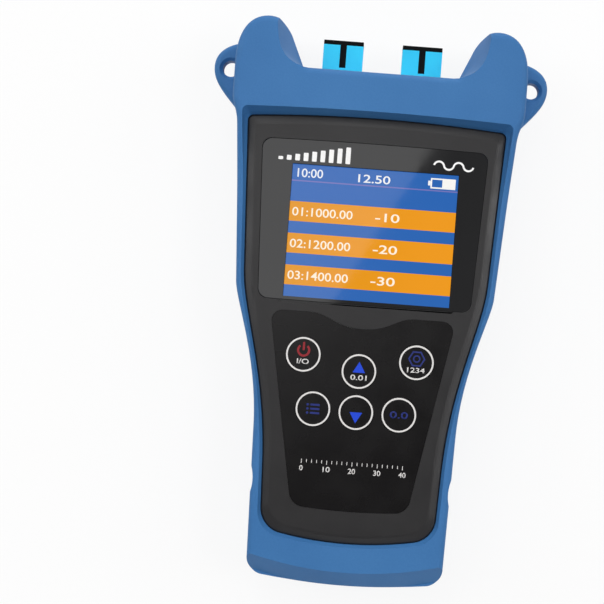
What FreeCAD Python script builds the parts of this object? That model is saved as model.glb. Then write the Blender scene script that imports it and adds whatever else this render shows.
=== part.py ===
import FreeCAD, Part
import math, os
from collections import namedtuple

V = FreeCAD.Vector
os.makedirs("parts", exist_ok=True)

# Handheld optical power meter. All sizes are in mm. The meter lies on its back:
# x runs across the face, y runs along it towards the ports, z comes out of the face.

# Walls and fits
BOOT_WALL = 1.7
BOOT_BACK = 2.2
BOOT_TOP_WALL = 2.4
BOOT_FOOT_WALL = 6.1
BACK_RIM = 4.4          # width of the rim round the open back
NOTCH_HALF = 9.0
BOOT_FIT = 0.10         # rubber to case, each side
CASE_WALL = 2.0
CASE_TOP_WALL = 3.0     # wall that carries the port adapters
PART_FIT = 0.12         # general clearance of inserted parts, each side
RUN_FIT = 0.05          # running clearance, each side
CASE_SKIN = BOOT_WALL + BOOT_FIT + CASE_WALL

# Keys: standard round caps in two rows
KEY_R = 5.7
KEY_FLANGE = 0.8        # hidden rim that holds a key under the sheet
KEY_TRAVEL = 0.4
KEY_PITCH = 2 * KEY_R + 2.2
KEY_SPREAD = KEY_PITCH + 4.3
KEY_DROP = 17.6         # middle top key below the sheet's top edge
KEY_ROW = 2 * KEY_R + 1.6
KEYS = (("power", -KEY_SPREAD, KEY_DROP - 4.1), ("up", 0.0, KEY_DROP), ("settings", KEY_SPREAD, KEY_DROP - 4.1),
        ("menu", -KEY_PITCH, KEY_DROP + KEY_ROW - 0.2), ("down", 0.0, KEY_DROP + KEY_ROW),
        ("reference", KEY_PITCH, KEY_DROP + KEY_ROW - 0.2))

# Ports
ADAPTER_W, ADAPTER_D = 12.9, 9.3
ADAPTER_WALL_X, ADAPTER_WALL_Z = 1.9, 0.9
SOCKET_W, SOCKET_D = ADAPTER_W - 2 * ADAPTER_WALL_X, ADAPTER_D - 2 * ADAPTER_WALL_Z
FLANGE_EAR = 4.65
FLANGE_T = 1.6
PORT_X = ADAPTER_W / 2 + FLANGE_EAR + 1.7
EAR_SCREW_X = ADAPTER_W / 2 + FLANGE_EAR - 2.2
ADAPTER_PROUD = 10.5    # adapter mouth above the trough
ADAPTER_REAR = 13.3     # adapter behind its wall
FERRULE_R = 1.25
SLEEVE_LEN = 11.4
PLUG_FLANGE = 1.4
BLOCK_HALF = PORT_X + SOCKET_W / 2 + 5.6
BLOCK_LEN = 11.0

# Batteries, their bay and door
CELL_R = 7.1
CELL_LEN = 50.0
CELL_PITCH = 2 * CELL_R + 0.8
BAY_WALL = 1.6
BAY_HALF = CELL_PITCH + CELL_R + 0.5
CONTACT_T = 0.4
CONTACT_R = 1.5
HINGE_R = 1.5
PIN_R = 0.75
DOOR_LEDGE = 0.8
DOOR_HALF = BAY_HALF + DOOR_LEDGE
DOOR_T = CASE_WALL - 0.05
DOOR_GAP = 0.2

# Display and its window
PICTURE_W, PICTURE_H = 52.7, 42.0
PICTURE_X = 0.57
GLASS_W, GLASS_H, GLASS_T = PICTURE_W + 7.3, PICTURE_H + 8.0, 2.0
LENS_T = 1.0
LEDGE_T = 0.9           # edge that the window is bonded to
TRAY_WALL = 1.0
LENS_OVER = 7.9         # window above the picture
LENS_UNDER = 1.3
LENS_H = LENS_OVER + PICTURE_H + LENS_UNDER
LENS_HALF_TOP = PICTURE_W / 2 + 9.55

# Keypad sheet
OVERLAY_T = 0.5
OVERLAY_H = 62.0
OVERLAY_DIP = 4.3
OVERLAY_HALF_TOP, OVERLAY_HALF_LOW = KEY_SPREAD + 11.4, KEY_PITCH + 4.6

# Widths of the boot, from what it holds
FOOT_W = 2 * (BAY_HALF + BAY_WALL + 3.1 + CASE_SKIN)
HIP_W = FOOT_W + 1.8
SHOULDER_W = 2 * (OVERLAY_HALF_TOP + 11.6)
NECK_W = 2 * (LENS_HALF_TOP + 8.1)
HEAD_FLARE = 2.0
HEAD_W = NECK_W + 2 * HEAD_FLARE
TROUGH_HALF = PORT_X + ADAPTER_W / 2 + 5.05
LENS_HALF_LOW = SHOULDER_W / 2 - 7.2
FOOT_CORNER_R = 4.6
PANEL_CORNER_R = 1.8      # upper corners of the face panel
FRONT_EDGE_R = 2.0
BACK_EDGE_R = 3.0

# Levels along y, stacked from the foot to the horns
FOOT_BAND = 13.9        # boot below the face panel
PANEL_FOOT = 10.3       # panel below the keypad sheet
KEYPAD_GAP = 3.2
PANEL_HEAD = 8.0        # panel above the window
BRIDGE = 14.0           # head between panel and trough
HORN_RISE = 15.4
LENGTH = FOOT_BAND + PANEL_FOOT + OVERLAY_H + KEYPAD_GAP + LENS_H + PANEL_HEAD + BRIDGE + HORN_RISE
BOTTOM = -LENGTH / 2
TOP = LENGTH / 2
TROUGH_Y = TOP - HORN_RISE
PANEL_TOP = TROUGH_Y - BRIDGE
PANEL_BOTTOM = BOTTOM + FOOT_BAND
LENS_TOP = PANEL_TOP - PANEL_HEAD
OVERLAY_TOP = LENS_TOP - LENS_H - KEYPAD_GAP
PICTURE_Y = LENS_TOP - LENS_OVER - PICTURE_H / 2
NECK_Y = PANEL_TOP - 4.9
SHOULDER_Y = OVERLAY_TOP + 8.3
HIP_Y = PANEL_BOTTOM + 35.6
FOOT_Y = PANEL_BOTTOM - 4.2
CASE_TOP = TROUGH_Y - BOOT_TOP_WALL - BOOT_FIT
CASE_BOTTOM = BOTTOM + BOOT_FOOT_WALL + BOOT_FIT
BAY_LOW = PANEL_BOTTOM + 1.7
BAY_HIGH = BAY_LOW + CELL_LEN + 2 * (CONTACT_T + CONTACT_R)
HINGE_Y = BAY_HIGH + 2.0
BACK_BAND_Y = CASE_TOP - 20.4  # the back is closed above this level

# Levels along z, stacked from the back to the face
CASE_BACK = BOOT_BACK + BOOT_FIT
FLOOR_Z = CASE_BACK + CASE_WALL
CELL_Z = FLOOR_Z + 0.3 + CELL_R
BAY_ROOF = CELL_Z + CELL_R + 0.4
BAY_ROOF_T = 1.4
HINGE_Z = CASE_BACK + 2.1
PORT_Z = BAY_ROOF + 0.8
SPLIT_Z = PORT_Z + ADAPTER_D / 2 + 1.35
BOARD_T = 1.6
BOARD_Z = SPLIT_Z + 1.8  # back of the main board
BOARD_TOP = BOARD_Z + BOARD_T
SWITCH_H = 3.5
STEM_OUT = 1.1
ROOF_Z = BOARD_TOP + SWITCH_H + STEM_OUT + 1.0
PANEL_WALL = 3.0
PANEL_Z = ROOF_Z + PANEL_WALL
STEP_H = 1.5            # raised face panel above the case shoulder
CROWN_W, CROWN_H = 2.4, 0.5  # sloping edge all round the face panel
SHOULDER_Z = PANEL_Z - STEP_H
RAIL_RISE = 1.3         # side rails above the face panel
RAIL_Z = PANEL_Z + RAIL_RISE
PANEL_DROP = 5.0        # face panel below the front of the head
THICK = PANEL_Z + PANEL_DROP

# Lanyard lugs
LUG_T = 7.0
LUG_Z = PORT_Z + 1.0
EYE_R = 2.6
EYE_X = HEAD_W / 2 + EYE_R + 0.2
EYE_Y = TROUGH_Y + 0.3
EYE_CHAMFER = 1.0

# Screws
BOSS_R, BOARD_BOSS_R = 3.2, 2.4
CASE_SCREWS = ((NECK_W / 2 - 8.0, CASE_TOP - 12.4), (FOOT_W / 2 - 8.2, CASE_BOTTOM + 5.0))
BOARD_SCREWS = ((GLASS_W / 2 + TRAY_WALL + BOARD_BOSS_R + 1.4, PICTURE_Y + PICTURE_H / 2 - 3.0),
                (FOOT_W / 2 - 11.8, CASE_BOTTOM + 15.6))

Side = namedtuple("Side", "foot hip hip_y rise shoulder shoulder_y fall neck")
BOOT_SIDE = Side(FOOT_W / 2, HIP_W / 2, HIP_Y, 22.0, SHOULDER_W / 2, SHOULDER_Y, 6.7, NECK_W / 2)
PANEL_SIDE = Side(FOOT_W / 2 - 3.9, HIP_W / 2 - 3.7, HIP_Y - 11.3, 28.6,
                  SHOULDER_W / 2 - 2.3, SHOULDER_Y + 3.6, 13.2, NECK_W / 2 - 3.2)


def edge(*poles):
    """A straight edge through two poles, or a Bezier edge through more."""
    pts = [V(x, y, 0) for x, y in poles]
    if len(pts) == 2:
        return Part.LineSegment(pts[0], pts[1]).toShape()
    curve = Part.BezierCurve()
    curve.setPoles(pts)
    return curve.toShape()


def flipped(edges):
    return [e.mirror(V(0, 0, 0), V(1, 0, 0)) for e in edges]


def wire(edges, z=0.0):
    w = Part.Wire(Part.__sortEdges__(edges))
    w.translate(V(0, 0, z))
    return w


def prism(edges, z0, z1):
    return Part.Face(wire(edges, z0)).extrude(V(0, 0, z1 - z0))


def frustum(sections):
    """Solid with flat-ruled walls through (edges, z) sections."""
    return Part.makeLoft([wire(edges, z) for edges, z in sections], True, True)


def box(x0, x1, y0, y1, z0, z1):
    return Part.makeBox(x1 - x0, y1 - y0, z1 - z0, V(x0, y0, z0))


def rounded(x0, x1, y0, y1, z0, z1, r, axis="z"):
    """Box with the four edges along one axis rounded."""
    b = box(x0, x1, y0, y1, z0, z1)
    pick = [e for e in b.Edges if abs(getattr(e.tangentAt(e.FirstParameter), axis)) > 0.99]
    return b.makeFillet(r, pick)


def cyl(r, x, y, z0, z1):
    return Part.makeCylinder(r, z1 - z0, V(x, y, z0))


def cyl_y(r, x, y0, y1, z):
    return Part.makeCylinder(r, y1 - y0, V(x, y0, z), V(0, 1, 0))


def cyl_x(r, x0, x1, y, z):
    return Part.makeCylinder(r, x1 - x0, V(x0, y, z), V(1, 0, 0))


def fuse(first, *rest):
    return first.fuse(list(rest)).removeSplitter() if rest else first


def pair(shape):
    """The shape and its twin on the other side of the midline."""
    return [shape, shape.mirror(V(0, 0, 0), V(1, 0, 0))]


def widened(side, d):
    """The side curve moved outwards by d (inwards when d is negative)."""
    return side._replace(foot=side.foot + d, hip=side.hip + d,
                         shoulder=side.shoulder + d, neck=side.neck + d)


def lower_x(side, y):
    t = (side.hip - side.foot) / (side.hip_y - FOOT_Y)
    return side.foot + t * (y - FOOT_Y)


def upper_x(side, y):
    t = (side.neck - side.shoulder) / (NECK_Y - side.shoulder_y)
    return side.shoulder + t * (y - side.shoulder_y)


def eased(p0, p1, p2):
    """Near-circular edge from p0 to p2 inside the corner p1."""
    k = 0.5523
    a = (p0[0] + k * (p1[0] - p0[0]), p0[1] + k * (p1[1] - p0[1]))
    b = (p2[0] + k * (p1[0] - p2[0]), p2[1] + k * (p1[1] - p2[1]))
    return edge(p0, a, b, p2)


def bowed_end(x_of, y_mid, sag, half, r, up):
    """Bowed end edge, its two corner edges and where the sides start (right side)."""
    def bow(x):
        return y_mid + sag * (x / half) ** 2
    xc = half
    for _ in range(8):
        xc = x_of(bow(xc))
    x0 = xc - r
    m = 2 * sag * x0 / half ** 2
    y0, ys = bow(x0), bow(xc) + up * r
    xs = x_of(ys)
    t = (x_of(ys + 1) - xs)
    xi = (xs + t * (y0 - m * x0 - ys)) / (1 - t * m)
    corner = eased((x0, y0), (xi, y0 + m * (xi - x0)), (xs, ys))
    end = edge((-x0, y0), (0, y0 - m * x0), (x0, y0))
    return [end, corner] + flipped([corner]), (xs, ys)


def side_edges(side, low, high):
    """Right-hand side edges from the point low up to the point high."""
    t0 = (side.hip - side.foot) / (side.hip_y - FOOT_Y)
    t1 = (side.neck - side.shoulder) / (NECK_Y - side.shoulder_y)
    hip, shoulder = (side.hip, side.hip_y), (side.shoulder, side.shoulder_y)
    return [edge(low, hip),
            edge(hip, (hip[0] + t0 * side.rise, hip[1] + side.rise),
                 (shoulder[0] - t1 * side.fall, shoulder[1] - side.fall), shoulder),
            edge(shoulder, high)]


def outline(side, low, low_sag, low_r, high, high_sag, high_r):
    """Closed plan outline between a bowed lower end and a bowed upper end."""
    lows, start = bowed_end(lambda y: lower_x(side, y), low, low_sag, side.foot, low_r, 1)
    highs, stop = bowed_end(lambda y: upper_x(side, y), high, -high_sag, side.neck, high_r, -1)
    sides = side_edges(side, start, stop)
    return lows + highs + sides + flipped(sides)


def case_outline(d):
    """Case outline moved inwards by d."""
    top = d * CASE_TOP_WALL / CASE_WALL if d <= CASE_WALL else CASE_TOP_WALL + d - CASE_WALL
    return outline(widened(BOOT_SIDE, -BOOT_WALL - BOOT_FIT - d), CASE_BOTTOM + d, 2.4, 5.0 - d / 2,
                   CASE_TOP - top, 0.0, 4.0 - d / 2)


def panel_outline(d, top_rise=0.0, top_sag=1.7):
    """Face panel outline moved outwards by d."""
    return outline(widened(PANEL_SIDE, d), PANEL_BOTTOM - d, 3.4, 6.0,
                   PANEL_TOP + top_rise + (d if top_rise == 0 else 0), top_sag, PANEL_CORNER_R)


def lens_outline(d):
    half_t, half_l, top, low = LENS_HALF_TOP + d, LENS_HALF_LOW + d, LENS_TOP + d, LENS_TOP - LENS_H - d

    def x_of(y):
        return half_l + (half_t - half_l) * (y - low) / (top - low)
    highs, stop = bowed_end(x_of, top, -0.4, half_t, 3.2, -1)
    lows, start = bowed_end(x_of, low, 0.2, half_l, 3.0, 1)
    side = edge(start, stop)
    return highs + lows + [side] + flipped([side])


def overlay_outline(d):
    """Keypad sheet: tapering sides, bowed foot and a dipped top edge."""
    half_t, half_l = OVERLAY_HALF_TOP + d, OVERLAY_HALF_LOW + d
    top, low = OVERLAY_TOP + d, OVERLAY_TOP - OVERLAY_H - d

    def x_of(y):
        return half_l + (half_t - half_l) * (y - low) / (top - low)
    lows, start = bowed_end(x_of, low, 0.9, half_l, 3.6, 1)
    flat, dip = half_t - 12.6, OVERLAY_DIP
    xs = x_of(top - 4.2)
    corner = eased((half_t - 4.4, top), (x_of(top), top), (xs, top - 4.2))
    level = edge((flat, top), (half_t - 4.4, top))
    swoop = edge((0, top - dip), (flat * 0.55, top - dip), (flat * 0.62, top), (flat, top))
    side = edge(start, (xs, top - 4.2))
    rights = [corner, level, swoop, side]
    return lows + rights + flipped(rights)


def key_places():
    return [(name, x, OVERLAY_TOP - drop) for name, x, drop in KEYS]


def boot_outline():
    """Whole plan outline of the boot, with the head and its two horns."""
    half, neck = HEAD_W / 2, (NECK_W / 2, NECK_Y)
    lows, start = bowed_end(lambda y: lower_x(BOOT_SIDE, y), BOTTOM, 2.3, FOOT_W / 2, FOOT_CORNER_R, 1)
    t = (NECK_W - SHOULDER_W) / 2 / (NECK_Y - SHOULDER_Y)
    root_x, root_r = TROUGH_HALF, 1.6
    w = half - root_x
    tip_x, inner = half - 0.46 * w, (root_x + 0.2 * w, TOP - 5.6)
    run = math.hypot(inner[0] - root_x, inner[1] - TROUGH_Y)
    p2 = (root_x + root_r * (inner[0] - root_x) / run, TROUGH_Y + root_r * (inner[1] - TROUGH_Y) / run)
    rights = side_edges(BOOT_SIDE, start, neck) + [
        edge(neck, (neck[0] + t * 5, neck[1] + 5), (half, neck[1] + 5.5), (half, neck[1] + 10)),
        edge((half, neck[1] + 10), (half, TOP - 14.6)),
        edge((half, TOP - 14.6), (half, TOP - 5.6), (half - 0.16 * w, TOP), (tip_x, TOP)),
        edge((tip_x, TOP), (half - 0.6 * w, TOP), (half - 0.728 * w, TOP - 1.6), inner),
        edge(inner, p2),
        eased((root_x - root_r, TROUGH_Y), (root_x, TROUGH_Y), p2)]
    trough = edge((-root_x + root_r, TROUGH_Y), (root_x - root_r, TROUGH_Y))
    return lows + rights + flipped(rights) + [trough]


def boot_front_cut():
    """Takes the front down from the head to the lower side rails in a smooth ramp."""
    y0, y1, far = TROUGH_Y - 42.0, TROUGH_Y - 11.9, BOTTOM - 5.0
    span = y1 - y0
    ramp = [edge((far, RAIL_Z), (y0, RAIL_Z)),
            edge((y0, RAIL_Z), (y0 + 0.4 * span, RAIL_Z), (y0 + 0.62 * span, THICK), (y1, THICK)),
            edge((y1, THICK), (y1, THICK + 5)), edge((y1, THICK + 5), (far, THICK + 5)),
            edge((far, THICK + 5), (far, RAIL_Z))]
    cut = prism(ramp, -HEAD_W, HEAD_W)
    cut.rotate(V(0, 0, 0), V(0, 1, 0), 90)
    cut.rotate(V(0, 0, 0), V(1, 0, 0), 90)
    return cut, (y0, y1)


def boot_bevel_cut():
    """Sloping band along the boot's front bottom edge."""
    def section(y_mid):
        w, far = FOOT_W, BOTTOM - 20
        sag = 4.0 * (w / 30.0) ** 2
        return [edge((-w, y_mid + sag), (0, y_mid - sag), (w, y_mid + sag)),
                edge((w, y_mid + sag), (w, far)), edge((w, far), (-w, far)), edge((-w, far), (-w, y_mid + sag))]
    return frustum([(section(BOTTOM - 0.6), RAIL_Z - 6.6), (section(BOTTOM + 5.3), RAIL_Z + 0.3)])


def horn_scoop_cut():
    """Slanting hollow on the inner front of the right-hand horn."""
    w, x0, y1 = HEAD_W / 2 - TROUGH_HALF, TROUGH_HALF, TOP + 3.4
    root = (x0 + 0.1, TROUGH_Y)

    def section(curve):
        inside = x0 - 8.3
        return [edge(*curve), edge(curve[-1], (inside, TROUGH_Y)),
                edge((inside, TROUGH_Y), (inside, y1)), edge((inside, y1), curve[0])]
    front = section([(x0 + 0.438 * w, y1), (x0 + 0.42 * w, TOP - 6.6), (x0 + 0.42 * w, TROUGH_Y + 2.2), root])
    deep = section([(x0 + 0.327 * w, y1), (x0 + 0.18 * w, TOP - 5.0), (x0 + 0.097 * w, TROUGH_Y + 5.0), root])
    return frustum([(deep, THICK - 14.0), (front, THICK + 0.4)])


def lug():
    """Right-hand lanyard lug with its chamfered eye."""
    x0, x1 = HEAD_W / 2 - 2.0, EYE_X + EYE_R + 2.8
    z0, z1 = LUG_Z - LUG_T / 2, LUG_Z + LUG_T / 2
    edges = [edge((x0, EYE_Y + 9.0), (x0 + 4.5, EYE_Y + 8.4), (x1, EYE_Y + 6.3), (x1, EYE_Y + 0.4)),
             edge((x1, EYE_Y + 0.4), (x1, EYE_Y - 5.2), (x0 + 5.5, EYE_Y - 8.7), (x0, EYE_Y - 15.2)),
             edge((x0, EYE_Y - 15.2), (x0, EYE_Y + 9.0))]
    body = prism(edges, z0, z1)
    rims = [e for e in body.Edges if len(e.Vertexes) == 2 and abs(e.Vertexes[0].Z - e.Vertexes[1].Z) < 1e-6
            and e.BoundBox.XMax > x0 + 1]
    body = body.makeFillet(1.8, rims)
    eye = cyl(EYE_R, EYE_X, EYE_Y, z0 - 1, z1 + 1)
    low = Part.makeCone(EYE_R + EYE_CHAMFER, EYE_R, EYE_CHAMFER, V(EYE_X, EYE_Y, z0))
    high = Part.makeCone(EYE_R, EYE_R + EYE_CHAMFER, EYE_CHAMFER, V(EYE_X, EYE_Y, z1 - EYE_CHAMFER))
    return body.cut([eye, low, high])


def make_lugs():
    """Right and left lug, bonded to the sides of the boot."""
    return pair(lug().cut(prism(boot_outline(), LUG_Z - LUG_T, LUG_Z + LUG_T)))


def grip_cuts():
    """Shallow finger notch in each side, near the foot."""
    y, depth, chord = PANEL_BOTTOM + 18.2, 0.7, 8.4
    r = (chord * chord / 4 + depth * depth) / (2 * depth)
    x = lower_x(BOOT_SIDE, y) + r - depth
    return pair(cyl(r, x, y, -1, RAIL_Z + 1))


def boot_opening():
    """Opening around the face panel, bevelled up to the rails and the head."""
    return frustum([(panel_outline(BOOT_FIT), SHOULDER_Z - 1), (panel_outline(BOOT_FIT), PANEL_Z - 0.4),
                    (panel_outline(0.9, 0.5, 1.6), RAIL_Z), (panel_outline(1.6, 1.7, 0.9), THICK + 0.3)])


def boot_back_window():
    """Window that leaves a rim round the back, with a finger notch at the foot of the battery door."""
    low = BAY_LOW - 1.6
    hole = prism(case_outline(BACK_RIM - BOOT_WALL - BOOT_FIT), -1, BOOT_BACK + 1)
    hole = hole.common(box(-HEAD_W, HEAD_W, low, BACK_BAND_Y, -2, BOOT_BACK + 2))
    corners = [e for e in hole.Edges if e.BoundBox.ZLength > 1 and e.BoundBox.YLength < 1e-6
               and min(abs(e.BoundBox.YMin - y) for y in (low, BACK_BAND_Y)) < 0.01]
    notch = rounded(-NOTCH_HALF, NOTCH_HALF, low - 3.4, low + 8, -1, BOOT_BACK + 1, 3.0)
    return [hole.makeFillet(5.0, corners), notch]


def make_boot():
    body = prism(boot_outline(), 0, THICK)
    cut, levels = boot_front_cut()
    body = body.cut(cut)

    def is_rim(e, z_low, z_high):
        bb = e.BoundBox
        across = bb.YLength < 1e-6 and any(abs(bb.YMin - y) < 0.01 for y in levels)
        return bb.ZMin > z_low and bb.ZMax < z_high and not across
    body = body.makeFillet(FRONT_EDGE_R, [e for e in body.Edges if is_rim(e, RAIL_Z - 0.01, THICK + 0.01)])
    body = body.makeFillet(BACK_EDGE_R, [e for e in body.Edges if is_rim(e, -0.01, 0.01)])
    body = body.cut([boot_bevel_cut()] + pair(horn_scoop_cut()) + grip_cuts())
    cavity = prism(case_outline(-BOOT_FIT), BOOT_BACK, SHOULDER_Z + BOOT_FIT)
    w, d = ADAPTER_W / 2 + 0.8, ADAPTER_D / 2 + 0.8
    slot = rounded(PORT_X - w, PORT_X + w, CASE_TOP - 1, TROUGH_Y + 1, PORT_Z - d, PORT_Z + d, 1.5, "y")
    return body.cut([cavity, boot_opening()] + boot_back_window() + pair(slot))


def level(e, z):
    """Whether an edge lies in the plane z."""
    return abs(e.BoundBox.ZMin - z) < 1e-4 and abs(e.BoundBox.ZMax - z) < 1e-4


def boss(r, places, z0, z1):
    return [b for x, y in places for b in pair(cyl(r, x, y, z0, z1))]


def make_front_case():
    crown = frustum([(panel_outline(0), PANEL_Z - CROWN_H), (panel_outline(-CROWN_W), PANEL_Z)])
    raised = fuse(prism(panel_outline(0), SHOULDER_Z - 0.5, PANEL_Z - CROWN_H), crown)
    raised = raised.makeFillet(0.6, [e for e in raised.Edges if level(e, PANEL_Z - CROWN_H)])
    raised = raised.makeFillet(4.0, [e for e in raised.Edges if level(e, PANEL_Z)])
    shell = fuse(prism(case_outline(0), SPLIT_Z, SHOULDER_Z), raised)
    inner = prism(case_outline(CASE_WALL), SPLIT_Z - 1, ROOF_Z)
    rebate = prism(case_outline(CASE_WALL / 2), SPLIT_Z - 1, SPLIT_Z + 1.4)
    shell = shell.cut([inner, rebate])
    adds = boss(BOSS_R, CASE_SCREWS, SPLIT_Z, ROOF_Z + 0.5) + boss(BOARD_BOSS_R, BOARD_SCREWS, BOARD_TOP, ROOF_Z + 0.5)
    keep = prism(case_outline(CASE_WALL / 2), SPLIT_Z, ROOF_Z + 1)
    shell = shell.fuse([a.common(keep) for a in adds])
    w, h = PICTURE_W / 2 + 1.8, PICTURE_H / 2 + 1.8
    tw, th = GLASS_W / 2 + TRAY_WALL + 2 * PART_FIT, GLASS_H / 2 + TRAY_WALL + 2 * PART_FIT
    cuts = [prism(lens_outline(PART_FIT), PANEL_Z - LENS_T, PANEL_Z + 1),
            rounded(PICTURE_X - w, PICTURE_X + w, PICTURE_Y - h, PICTURE_Y + h, ROOF_Z - 1, PANEL_Z, 1.5),
            rounded(PICTURE_X - tw, PICTURE_X + tw, PICTURE_Y - th, PICTURE_Y + th,
                    ROOF_Z - 8, PANEL_Z - LENS_T - LEDGE_T, 1.5),
            prism(overlay_outline(PART_FIT), PANEL_Z - OVERLAY_T, PANEL_Z + 1)]
    for _, x, y in key_places():
        cuts.append(cyl(KEY_R + KEY_FLANGE + 0.3, x, y, PANEL_Z - 1.8, PANEL_Z))
        cuts.append(cyl(2.2, x, y, ROOF_Z - 1, PANEL_Z))
    cuts += boss(1.1, CASE_SCREWS, SPLIT_Z - 1, SPLIT_Z + 7.6)
    cuts += boss(0.9, BOARD_SCREWS, BOARD_TOP - 1, BOARD_TOP + 4.6)
    return shell.cut(cuts)


def bay_block():
    """Battery bay walls, roof and the block that holds the hinge."""
    x, w = BAY_HALF + BAY_WALL, BAY_WALL
    bay = box(-x, x, BAY_LOW - w, BAY_HIGH + w, FLOOR_Z - 0.5, BAY_ROOF + BAY_ROOF_T)
    hinge = box(-DOOR_HALF - 2.6, DOOR_HALF + 2.6, BAY_HIGH, HINGE_Y + 4.2, FLOOR_Z - 0.5, HINGE_Z + HINGE_R + 1.6)
    return [bay, hinge]


def cell_places():
    return [(k * CELL_PITCH, 1 if k else -1) for k in (-1, 0, 1)]


def cell_saddles():
    """Two ribs under the bay roof, hollowed to the cells."""
    out = []
    for y in (BAY_LOW + 14.0, BAY_HIGH - 14.0):
        rib = box(-BAY_HALF, BAY_HALF, y - 1, y + 1, CELL_Z + 4.0, BAY_ROOF)
        out.append(rib.cut([cyl_y(CELL_R + 0.05, x, y - 2, y + 2, CELL_Z) for x, _ in cell_places()]))
    return out


def make_rear_case():
    shell = prism(case_outline(0), CASE_BACK, SPLIT_Z)
    shell = shell.makeFillet(1.2, [e for e in shell.Edges if e.BoundBox.ZMax < CASE_BACK + 0.01])
    shell = shell.cut(prism(case_outline(CASE_WALL), FLOOR_Z, SPLIT_Z + 1))
    lip = prism(case_outline(CASE_WALL / 2 + PART_FIT), SPLIT_Z - 0.5, SPLIT_Z + 1.2)
    lip = lip.cut(prism(case_outline(CASE_WALL), SPLIT_Z - 1, SPLIT_Z + 2))
    lip = lip.cut(boss(BOSS_R + 0.2, CASE_SCREWS, SPLIT_Z - 0.1, SPLIT_Z + 2))
    keep = prism(case_outline(CASE_WALL / 2), CASE_BACK + 0.5, SPLIT_Z)
    bosses = [b.common(keep) for b in boss(BOSS_R, CASE_SCREWS, FLOOR_Z - 0.5, SPLIT_Z)]
    shell = shell.fuse([lip] + bosses + bay_block())
    mouth_x = DOOR_HALF + DOOR_GAP
    w, d = ADAPTER_W / 2 + PART_FIT, ADAPTER_D / 2 + PART_FIT
    cuts = [box(-BAY_HALF, BAY_HALF, BAY_LOW, BAY_HIGH, CASE_BACK - 1, BAY_ROOF),
            rounded(-mouth_x, mouth_x, BAY_LOW - 0.4, HINGE_Y + 2.35, CASE_BACK - 1, FLOOR_Z, 1.0),
            box(-mouth_x, mouth_x, BAY_HIGH - 0.5, HINGE_Y + 2.35, CASE_BACK - 1, HINGE_Z + HINGE_R + 0.3),
            cyl_x(PIN_R, -DOOR_HALF - 2.0, DOOR_HALF + 2.0, HINGE_Y, HINGE_Z)]
    cuts += pair(box(PORT_X - w, PORT_X + w, CASE_TOP - CASE_TOP_WALL - 1, CASE_TOP + 1, PORT_Z - d, PORT_Z + d))
    cuts += boss(2.6, CASE_SCREWS, CASE_BACK - 1, SPLIT_Z - 5) + boss(1.35, CASE_SCREWS, CASE_BACK, SPLIT_Z + 1)
    for x in adapter_screw_xs():
        cuts.append(cyl_y(0.9, x, CASE_TOP - CASE_TOP_WALL - 1, CASE_TOP - 0.4, PORT_Z))
    return shell.cut(cuts).fuse(cell_saddles()).removeSplitter()


def make_door():
    low = BAY_LOW - 0.4 + DOOR_GAP
    plate = rounded(-DOOR_HALF, DOOR_HALF, low, HINGE_Y + 0.3, CASE_BACK, CASE_BACK + DOOR_T, 0.8)
    grooves = [cyl_x(0.8, -9, 9, low + 5 + 2.4 * k, CASE_BACK - 0.35) for k in range(5)]
    plate = plate.cut([cyl_x(PIN_R + 0.3, -DOOR_HALF, DOOR_HALF, HINGE_Y, HINGE_Z)] + grooves)
    knuckles = pair(cyl_x(HINGE_R, 12, 20, HINGE_Y, HINGE_Z))
    body = plate.fuse(knuckles)
    return body.cut(cyl_x(PIN_R + RUN_FIT, -DOOR_HALF, DOOR_HALF, HINGE_Y, HINGE_Z))


def make_cell(x, up):
    """One AA cell; its button faces the upper bay wall when up is 1."""
    y0 = BAY_LOW + CONTACT_T + CONTACT_R
    can = cyl_y(CELL_R, x, y0, y0 + CELL_LEN - 1.1, CELL_Z)
    can = can.makeFillet(0.5, [e for e in can.Edges if e.Curve.TypeId == "Part::GeomCircle"])
    cell = fuse(can, cyl_y(2.6, x, y0 + CELL_LEN - 1.6, y0 + CELL_LEN, CELL_Z))
    if up < 0:
        cell.rotate(V(x, y0 + CELL_LEN / 2, CELL_Z), V(0, 0, 1), 180)
    return cell


def make_contacts(y, inward):
    """Contact strip against one bay wall with a bowed leaf for each cell."""
    y1 = y + inward * CONTACT_T
    strip = box(-CELL_PITCH - 5, CELL_PITCH + 5, min(y, y1), max(y, y1), CELL_Z - 5, CELL_Z + 5)
    leaves = []
    for x, _ in cell_places():
        ring = cyl(CONTACT_R, x, y1, CELL_Z - 2.2, CELL_Z + 2.2).cut(
            cyl(CONTACT_R - CONTACT_T, x, y1, CELL_Z - 3, CELL_Z + 3))
        far = y1 + inward * 3
        leaves.append(ring.common(box(x - 3, x + 3, min(y1, far), max(y1, far), CELL_Z - 3, CELL_Z + 3)))
    return strip.fuse(leaves)


def make_window():
    return frustum([(lens_outline(0), PANEL_Z - LENS_T), (lens_outline(0), PANEL_Z - 0.2),
                    (lens_outline(-0.2), PANEL_Z)])


def display_box(grow, z0, z1, r=0.6):
    w, h = GLASS_W / 2 + grow, GLASS_H / 2 + grow
    return rounded(PICTURE_X - w, PICTURE_X + w, PICTURE_Y - h, PICTURE_Y + h, z0, z1, r)


def glass_top():
    return PANEL_Z - LENS_T - LEDGE_T - 0.1


def make_lcd_glass():
    return display_box(-PART_FIT, glass_top() - GLASS_T, glass_top())


def make_backlight():
    return display_box(-PART_FIT, BOARD_TOP + 0.8, glass_top() - GLASS_T)


def make_lcd_frame():
    tray = display_box(TRAY_WALL, BOARD_TOP, glass_top() - 0.1, 1.2)
    return tray.cut(display_box(0, BOARD_TOP + 0.8, glass_top() + 1))


def make_overlay():
    sheet = prism(overlay_outline(0), PANEL_Z - OVERLAY_T, PANEL_Z)
    return sheet.cut([cyl(KEY_R + 0.12, x, y, PANEL_Z - 1, PANEL_Z + 1) for _, x, y in key_places()])


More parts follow.
